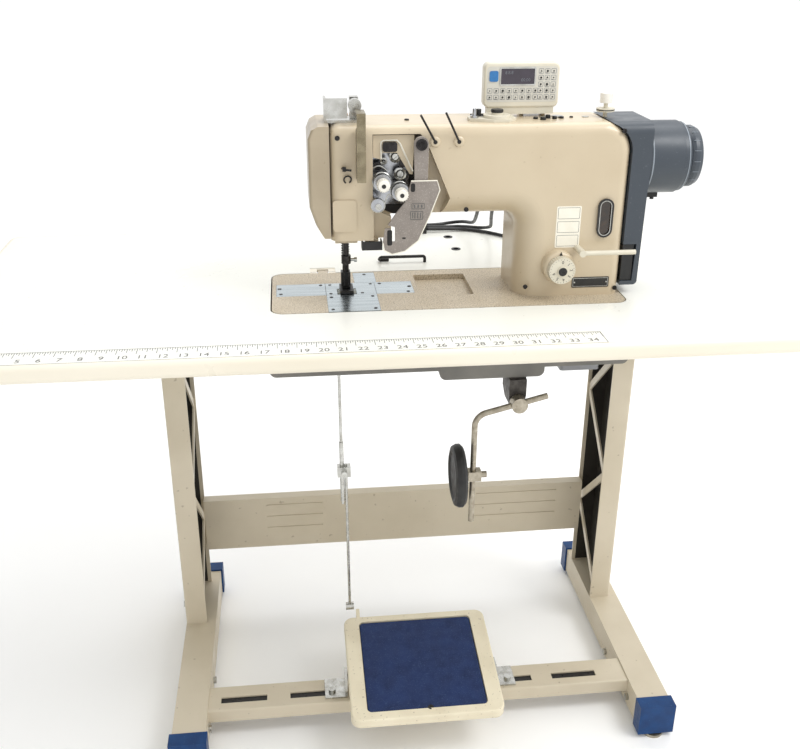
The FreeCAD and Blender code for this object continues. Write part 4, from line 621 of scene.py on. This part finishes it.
# %% [markdown]
# ## Stitch length dial, plates and oil window
# The dial has figures round its face, a black centre, a ribbed rim to grip and a pointer on the casting
# above it. The figures and ribs are placed by angle: (r cos a, r sin a) about the dial's centre. The
# rating plates are left blank.

# %% Dial and plates
dial_x, dial_z, dial_y = 277.5, 798.0, -137.0
dial_numbers = []
for number in range(7):
    angle = np.radians(90 - 42 * number)
    dial_numbers.append(at(lettering(str(number), 6.5, FRONT, 0, 0.15, angle - np.pi / 2),
                           dial_x + 13 * np.cos(angle), dial_y, dial_z + 13 * np.sin(angle)))
dot_angles = np.radians(np.arange(0, 360, 14))
dots = [on_front(spun([(0.45, 0), (0.45, 0.15)], 8), dial_x + 17.2 * np.cos(a), dial_y,
                 dial_z + 17.2 * np.sin(a)) for a in dot_angles]
piece("dial_figures", together(*dial_numbers, *dots), plate_black, "stitch_dial")
cap = [(0.0, 0.0), (6.2, 0.0), (6.2, 0.6), (5.2, 1.0), (2.6, 1.0), (2.4, 0.4), (0.0, 0.4)]
piece("dial_centre", on_front(spun(cap), dial_x, dial_y - 3, dial_z), black_plastic, "stitch_dial")
teeth = np.arange(36) * np.pi / 18
ribs = [on_front(spun([(0.9, 1.0), (0.9, 11.6)], 8), dial_x + 19.0 * np.cos(a), dial_y + 12.6,
                 dial_z + 19.0 * np.sin(a)) for a in teeth]
piece("dial_grip", together(*ribs), cream_plastic, "stitch_dial")
pointer = cut_out([(-2.2, 0), (2.2, 0), (0, 6)], 0, 0.8)
piece("dial_pointer", on_front(pointer, dial_x, -124, dial_z + 19.5), plate_black, "head")
arm_y = -106.0
plate = cut_out(rounded(302, 762, 358, 778, 1.5), 0, 0.6)
piece("name_plate", on_front(plate, 0, arm_y, 0), plate_black, "head")
edge = frame_of(303.5, 763.5, 356.5, 776.5, 0.6, 0.6, 0.75, 1.0)
rivets = [at(spun([(0.0, 0.6), (1.3, 0.6), (1.1, 1.1), (0.0, 1.3)], 12), u, 770, 0) for u in (306, 354)]
piece("name_plate_edge", on_front(together(edge, *rivets), 0, arm_y, 0), bright_zinc, "head")
plain = cut_out(rounded(272, 824, 308, 885, 1.5), 0, 0.3)
piece("plain_plate", on_front(plain, 0, arm_y, 0), label_film_and_highlight, "head")
lines = [frame_of(274, v, 306, v + 16.5, 0.5, 0.3, 0.4, 0.8) for v in (826, 846.3, 866.5)]
piece("plain_plate_fields", on_front(together(*lines), 0, arm_y, 0), print_ink, "head")
window = frame_of(331.5, 838.5, 354.5, 895.5, 2.6, 2.8, 4.2, 11.4)
piece("window_rim", on_front(window, 0, arm_y, 0), plate_black, "head")
window = frame_of(334.3, 841.3, 351.7, 892.7, 1.0, 3.0, 4.0, 8.6)
piece("window_lip", on_front(window, 0, arm_y, 0), bright_zinc, "head")
print("dial ribs:", len(ribs))

# %% [markdown]
# ## Guards at the needle end
# An olive metal strip covers the take-up lever, and a small cream plate keeps fingers off the spring.
# Both are folded from sheet, so blocks and a flat outline are enough. The thread pins are bent wire: a
# tube along a short path, standing in a turned boss.

# %% Guards and thread pins
strip = together(blocks([-15, -131, 930], [-3, -129, 1022]), blocks([-15, -129, 931], [-13, -106, 997]),
                 blocks([-15, -129, 1020], [-3, -97, 1022]),
                 blocks([-12.2, -131.6, 934], [-5.8, -131, 1016]))
strip_made = piece("take_up_guard", strip, guard_metal, "head")
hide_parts("front_guards")
finger_plate = cut_out(rounded(-48, 856, -15, 901, 5), 0.3, 2)
piece("finger_guard", on_front(finger_plate, 0, arm_y, 0), head_enamel, "head")


def screw(r, high, slot=0.0):
    """A cheese-head screw: a turned head with two half moons either side of a slot."""
    angle = np.linspace(-1.2, 1.2, 9)
    moon = np.stack([r * np.cos(angle), r * np.sin(angle)], -1)
    moon = moon[moon[:, 0] > r * 0.2]
    c, s = np.cos(slot), np.sin(slot)
    spin = np.array([[c, s], [-s, c]])
    base = rod(r, 0.0, high * 0.55, 24)
    return together(base, cut_out(moon @ spin, high * 0.5, high), cut_out(-moon @ spin, high * 0.5, high))


bosses, pins = [], []
for foot, tip in (((127, 979), (106, -120, 1020)), ((94, 979), (72, -118, 1017))):
    bosses.append(on_front(spun([(0, -1), (7.5, -1), (7.5, 1.2), (5.5, 3.0), (2.6, 3.2), (0, 3.2)]),
                           foot[0], arm_y, foot[1]))
    low = np.array([foot[0], arm_y - 2.0, foot[1]])
    pins.append(tube(low + np.linspace(0, 1, 6)[:, None] * (np.array(tip) - low), 1.5))
    pins.append(on_front(spun([(0, 3), (3.0, 3), (2.4, 4.4), (0, 4.6)], 16), foot[0], arm_y, foot[1]))
loop = np.radians(np.linspace(-60, 240, 24))
pins.append(tube(np.stack([-27 + 5 * np.cos(loop), -108 - 1.5 * np.sin(loop / 2), 930 + 5 * np.sin(loop)],
                          -1), 1.1))
pins_made = piece("thread_pin_wires", together(*pins), black_oxide_and_shade, "head")
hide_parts("thread_pins")
piece("thread_pin_bosses", together(*bosses), head_enamel, "head")
print("thread pin bosses:", len(bosses))

# %% [markdown]
# ## Tension recess
# The back of the recess is a black sheet, painted shade, and a pale line round its rim is a painted
# highlight. Its two tension posts each carry a pair of bright discs, a cone spring and a knob. A third post
# holds the check spring, and two more ring units sit above them. The discs are turned profiles; each spring
# is a tube along (r cos t, y, r sin t) whose radius shrinks as it climbs.

# %% Tensions
# The black sheet at the back of the recess is painted shade.
recess_shade_outline = cut_out([(9.5, 986), (9.5, 886), (39, 873.5), (62, 873.5), (70, 900), (70, 969), (62, 986)], 0, 0.8)
piece("recess_shade_sheet", on_front(recess_shade_outline, 0, -78.2, 0), black_oxide_and_shade, "head")
deck = cut_out([(9, 988), (9, 958), (20, 955), (22, 964), (42, 964), (60, 934), (64, 934), (66, 988)], 0, 3)
piece("recess_rim_plate", on_front(deck, 0, -97, 0), head_enamel, "head")
# The pale tube along the recess rim is a painted highlight.
rim_highlight_line = tube([(20, -100.4, 956), (20, -100.4, 979), (24, -100.4, 981), (42, -100.4, 981),
                 (46, -100.4, 977), (64, -100.4, 938)], 1.2, 8, (0, 1, 0))
piece("recess_rim_highlight", rim_highlight_line, label_film_and_highlight, "head")
chrome, black = [], []
tension_posts = ((20, 927), (45, 914))
recess_y = -92
for x, z in tension_posts:
    for offset in (0.0, 3.2):
        dish = [(3.4, 0), (12.4, 0.6), (13.2, 1.8), (12.6, 2.2), (3.4, 1.2)]
        chrome.append(on_front(spun(dish + dish[:1]), x, -108 - offset, z))
    turns = np.linspace(0, 4 * 2 * np.pi, 90)
    radius = 8.2 - 3.4 * turns / turns[-1]
    chrome.append(tube(np.stack([x + radius * np.cos(turns), -113.5 - 8.5 * turns / turns[-1],
                                 z + radius * np.sin(turns)], -1), 0.7, 8, (0, 1, 0)))
for x, z, r in ((40, 958, 8.5), (47, 934, 8.5), (24, 952, 5.0)):
    collar = [(r - 3, 0), (r, 0), (r, 5), (r - 2, 6), (r - 3, 5), (r - 3, 0)]
    chrome.append(on_front(spun(collar), x, recess_y, z))
    chrome.append(on_front(screw(r - 4.2, 6.5, x), x, recess_y, z))
    black.append(on_front(spun([(0, 0), (r - 3, 0), (r - 3, 3), (0, 3)]), x, recess_y, z))
ring = np.linspace(0, 2 * np.pi, 40)
chrome.append(tube(np.stack([14 + 9.3 * np.cos(ring), np.full(40, -117.0), 895 + 9.3 * np.sin(ring)], -1),
                   1.2, 8, (0, 1, 0)))
tail = np.linspace(0, 1, 14)
chrome.append(tube(np.stack([23 + 9 * tail, -117 - 3 * tail, 897 + 14 * np.sin(2.2 * tail)], -1), 0.8, 8,
                   (0, 1, 0)))
chrome.append(tube(np.stack([4 + 24 * tail, -98 - 2 * tail, 938 + 8 * np.sin(3 * tail)], -1), 1.3, 8,
                   (0, 1, 0)))
chrome.append(on_front(screw(4.5, 2.5, 0.8), 14, -124, 895))
for x, z, w in ((16, 945, 5), (50, 948, 5)):
    black.append(on_front(cut_out(rounded(x - w, z - 5, x + w, z + 5, 2), 0, 4), 0, recess_y, 0))
pad = cut_out(rounded(22, 966, 42, 979, 3), 0, 5)
piece("recess_pad", on_front(pad, 0, -100, 0), dark_steel, "head")
piece("tension_fittings", together(*chrome), bright_zinc, "head")
piece("tension_blocks", together(*black), dark_steel, "head")
for body, (x, z) in zip(("left_tension_knob", "right_tension_knob"), tension_posts):
    shape = on_front(spun([(0, 0), (2.9, 0), (2.9, 1.3), (2.0, 1.6), (0, 1.6)], 20), x, -141, z)
    piece(body + "_centre", shape, plate_black, "head")
    ribs = [on_front(spun([(0.55, 1.5), (0.55, 10)], 6), x + 8.8 * np.cos(a), -129.5, z + 8.8 * np.sin(a))
            for a in teeth[::2]]
    piece(body + "_grip", together(*ribs), white_knob, body)
print("bright tension parts:", len(chrome))

# %% [markdown]
# ## Changeover lever
# A pressed plate switches between two needles and one. A thin pale tube follows its outline as a painted
# highlight on the edge; the slots and the embossed guide are flat shapes laid just proud of the plate.

# %% Changeover plate
plate_y = -125.5
border = np.array([(59, 930), (95, 930), (99, 917), (86, 882), (70, 846), (51, 831), (33, 827), (22, 833),
                   (20, 844)], float)
# The pale tubes along the plate's outline and its arm are painted highlight.
plate_highlight_line = tube(np.c_[border[:, 0], np.full(len(border), plate_y + 0.4), border[:, 1]], 0.9, 8, (0, 1, 0))
arm_highlight_line = tube([(83, -117.5, 977), (82, -117.5, 905)], 0.8, 8, (0, 1, 0))
piece("changeover_edge_highlight", together(plate_highlight_line, arm_highlight_line), label_film_and_highlight, "changeover_lever")
# The slots are flat black shapes: painted shade where the plate is cut through.
slots = [cut_out(rounded(58.5, 915, 64.5, 927, 2.5), 0, 0.4),
         cut_out(rounded(26, 840, 33, 862, 2.0), 0, 0.4),
         cut_out(rounded(47, 849, 52, 851, 0.8), 0, 0.4)]
piece("changeover_slots", on_front(together(*slots), 0, plate_y, 0), black_oxide_and_shade, "changeover_lever")
guide = [frame_of(58, 876, 76, 888, 0.7, 0, 0.4, 1), frame_of(60, 891, 78, 899, 0.6, 0, 0.4, 1)]
guide += [blocks([u, 878, 0], [u + 1.2, 886, 0.4]) for u in (61, 64, 68, 72)]
guide += [blocks([u, 893, 0], [u + 2.0, 897, 0.4]) for u in (63, 68, 73)]
piece("changeover_guide", on_front(together(*guide), 0, plate_y, 0), print_ink, "changeover_lever")
pivot = [on_front(spun([(4.2, 0), (8, 0), (8, 0.8), (6.6, 1.4), (4.2, 1.0), (4.2, 0)]), 73, plate_y, 979),
         on_front(screw(4.0, 2.2, 0.5), 73, plate_y, 979)]
piece("changeover_pivot", together(*pivot), dark_steel, "head")
print("changeover slots:", len(slots))

# %% [markdown]
# ## Screws
# Slotted screws hold the bed plates, the face plate and the covers, and black plugs close the oil holes
# on top of the arm. One screw shape serves them all, with its slot turned a little further each time, as
# no fitter leaves them lined up.

# %% Screws on the head
bed_screws = [at(screw(r, 0.5, 0.4 * n), x, y, table_z - 0.1) for n, (x, y, r) in enumerate(
    [(-128, -36, 3.0), (-126, -60, 2.6), (-66, -24, 2.6), (68, -41, 3.0), (64, -64, 2.6), (24, -24, 2.6),
     (-52, -64, 2.4), (-5, -64, 2.4), (-52, -24, 2.4), (10, -24, 2.4), (-52, -132, 2.6), (9, -132, 2.6),
     (-52, -80, 2.6), (9, -80, 2.6), (4, 22, 2.6)])]
piece("bed_plate_screws", together(*bed_screws), dark_steel, "head")
arm_screws = [on_front(screw(3.4, 1.6, n), x, arm_y, z) for n, (x, z) in enumerate(
    [(-40, 986), (-38, 864), (140, 884), (360, 990), (232, 766), (368, 760), (-22, 868)])]
piece("arm_screws", together(*arm_screws), dark_steel, "head")
plugs = [at(spun([(0, 0), (r, 0), (r, h * 0.7), (r * 0.8, h), (0, h)], 20), x, y, arm_top)
         for x, y, r, h in
         ((243, -64, 3.4, 3), (252, -72, 4.2, 4), (262, -60, 3.6, 5), (270, -66, 3.2, 4),
          (281, -62, 3.4, 3), (297, -56, 2.6, 2), (60, -60, 3.4, 2))]
piece("arm_top_plugs", together(*plugs), black_oxide_and_shade, "head")
caps = [at(rod(r, 0, h, 24), x, y, arm_top)
        for x, y, r, h in ((258, -52, 7, 1.5), (278, -50, 8, 2), (318, -54, 5, 1.2))]
piece("arm_top_caps", together(*caps), bright_zinc, "head")
print("screws:", len(bed_screws) + len(arm_screws), "plugs and caps:", len(plugs) + len(caps))

# %% [markdown]
# ## Needle clamp and winder
# The clamp ring has its own screw, and the bobbin winder a wheel and a latch. The presser bar's spring
# is a tube along the helix (r cos t, r sin t, pitch t), nine turns long.

# %% Needle clamp and winder parts
clamp = [at(turned_to(rod(2.4, 0, 6, 16), SIDE), -21.2, -55, 799),
         at(turned_to(rod(3.6, 5, 9, 16), SIDE), -21.2, -55, 799)]
piece("needle_clamp_screw", together(*clamp), bright_zinc, "needle_bar")
turns = np.linspace(0, 9 * 2 * np.pi, 200)
spring = tube(np.stack([-28 + 5.6 * np.cos(turns), -33 + 5.6 * np.sin(turns), 786 + 34 * turns / turns[-1]],
                       -1), 0.8, 6)
nose = blocks([[-44, -71, 829], [-44, -61, 829]], [[-12, -62, 842], [-37, -22, 842]])
piece("head_nose", nose, head_enamel, "head")
thread_guide = together(tube([(-34, -107, 945), (-33, -114, 945), (-22, -116, 944)], 1.5),
                        at(turned_to(rod(3.4, 0, 5, 16), SIDE), -34, -112, 945))
piece("face_thread_guide", thread_guide, black_oxide_and_shade, "head")
piece("presser_spring", spring, dark_steel, "presser_bar")
latch = together(at(cut_out(rounded(-16, -3, 12, 3, 2.5), 0, 2), 166, -58, 1006),
                 at(rod(3.4, 0, 9, 20), 162, -60, 1006),
                 at(spun([(0, 0), (8.6, 0), (9, 2), (8.6, 4), (0, 4)], 28), 186, -70, 1012))
piece("winder_latch", latch, black_plastic, "head")
discs = at(spun([(3.2, 0), (11, 0), (13.4, 1.4), (11, 2.0), (3.2, 1.8), (3.2, 0)]), 347, -54, 1010.2)
piece("winder_tension_disc", discs, dark_steel, "head")
print("presser spring points:", len(spring[0]))

# %% [markdown]
# ## Motor barrel
# A pale ring runs round each end of the barrel, and pale marks stand round the handwheel to grip it by.
# The rings are thin profiles spun on the shaft's axis, which is named once for all of them.

# %% Motor rings
shaft_y, shaft_z = -54, 943
inner_ring = [(52.0, 0), (53.0, 0.4), (53.0, 2.2), (52.0, 2.6), (52.0, 0)]
outer_ring = [(48.9, 0), (49.8, 0.3), (49.8, 1.6), (48.9, 1.9), (48.9, 0)]
rings = [at(turned_to(spun(ring_profile, 72), SIDE), x, shaft_y, shaft_z)
         for ring_profile, x in ((inner_ring, 406), (outer_ring, 461))]
piece("motor_rings", together(*rings), pale_slate, "head")
notch = blocks([375.4, -104, 771], [392, -78, 825])
piece("motor_notch_liner", notch, black_plastic, "head")
bracket = together(blocks([412, -60, 884], [436, -48, 892]), at(rod(3, 0, 4, 16), 418, -54, 880),
                   at(rod(3, 0, 4, 16), 430, -54, 880))
piece("motor_bracket", bracket, black_oxide_and_shade, "head")
mark_r = 43.8
wheel_marks = [at(blocks([0, -0.7, 0], [9, 0.7, 0.6]), 471, shaft_y + mark_r * np.cos(a),
                  shaft_z + mark_r * np.sin(a)) for a in teeth[::2]]
piece("handwheel_marks", together(*wheel_marks), pale_slate, "main_shaft")
print("handwheel marks:", len(wheel_marks))

# %% [markdown]
# ## Stand and table details
# Thin black plates under the slots in the treadle bar are painted shade, the two holes in the table are
# lined with black plastic, and one screw holds the mat. The channel legs are open towards the machine,
# and their insides get painted shade: a thin dark skin of blocks laid on the enamelled walls.

# %% Stand details
# The black plates under the bar's slots are painted shade.
slot_shade_plates = [blocks([lo, -147, 55.0], [hi, -131, 55.4])
        for lo, hi in ((-258, -179), (-142, -59), (246, 278), (312, 392))]
piece("bar_slot_shade", together(*slot_shade_plates), black_oxide_and_shade, "stand")
tube_wall = [(4.6, 0), (5.9, 0), (5.9, 25), (8, 25), (8, 26), (4.6, 26), (4.6, 0)]
liners = [at(spun(tube_wall, 32), x, y, 725) for x, y in ((169, 219), (171, 145))]
piece("hole_liners", together(*liners), black_plastic, "stand")
# The dark skin inside each channel leg is painted shade.
leg_shade_blocks = [blocks([[-329.4, 69.7, 62], [-329.4, 69.7, 62], [-329.4, 197.0, 62]],
                 [[-329.0, 197.3, 719], [-301, 70.0, 719], [-301, 197.3, 719]]),
          blocks([[478.0, 69.7, 62], [450, 69.7, 62], [450, 197.0, 62]],
                 [[478.4, 197.3, 719], [478.4, 70.0, 719], [478.4, 197.3, 719]])]
piece("leg_painted_shade", together(*leg_shade_blocks), leg_shade, "stand")
piece("mat_screw", at(screw(5, 2.5, 0.6), 86, -233, 95.5), black_oxide_and_shade, "treadle")
print("bar slots:", len(slot_shade_plates), "hole liners:", len(liners))

# %% [markdown]
# ## Floor
# A plain pale floor catches the soft shadow of the stand. It is one large face, staged so that it is seen
# but is no part of the machine.

# %% Floor
corners = np.array([[-30.0, -20.0, 0.0], [30.0, -20.0, 0.0], [30.0, 60.0, 0.0], [-30.0, 60.0, 0.0]])
floor_mesh = bpy.data.meshes.new("floor")
floor_mesh.from_pydata(corners.tolist(), [], [[0, 1, 2, 3]])
floor_mesh.materials.append(floor_finish)
floor = bpy.data.objects.new("floor", floor_mesh)
scene.collection.objects.link(floor)
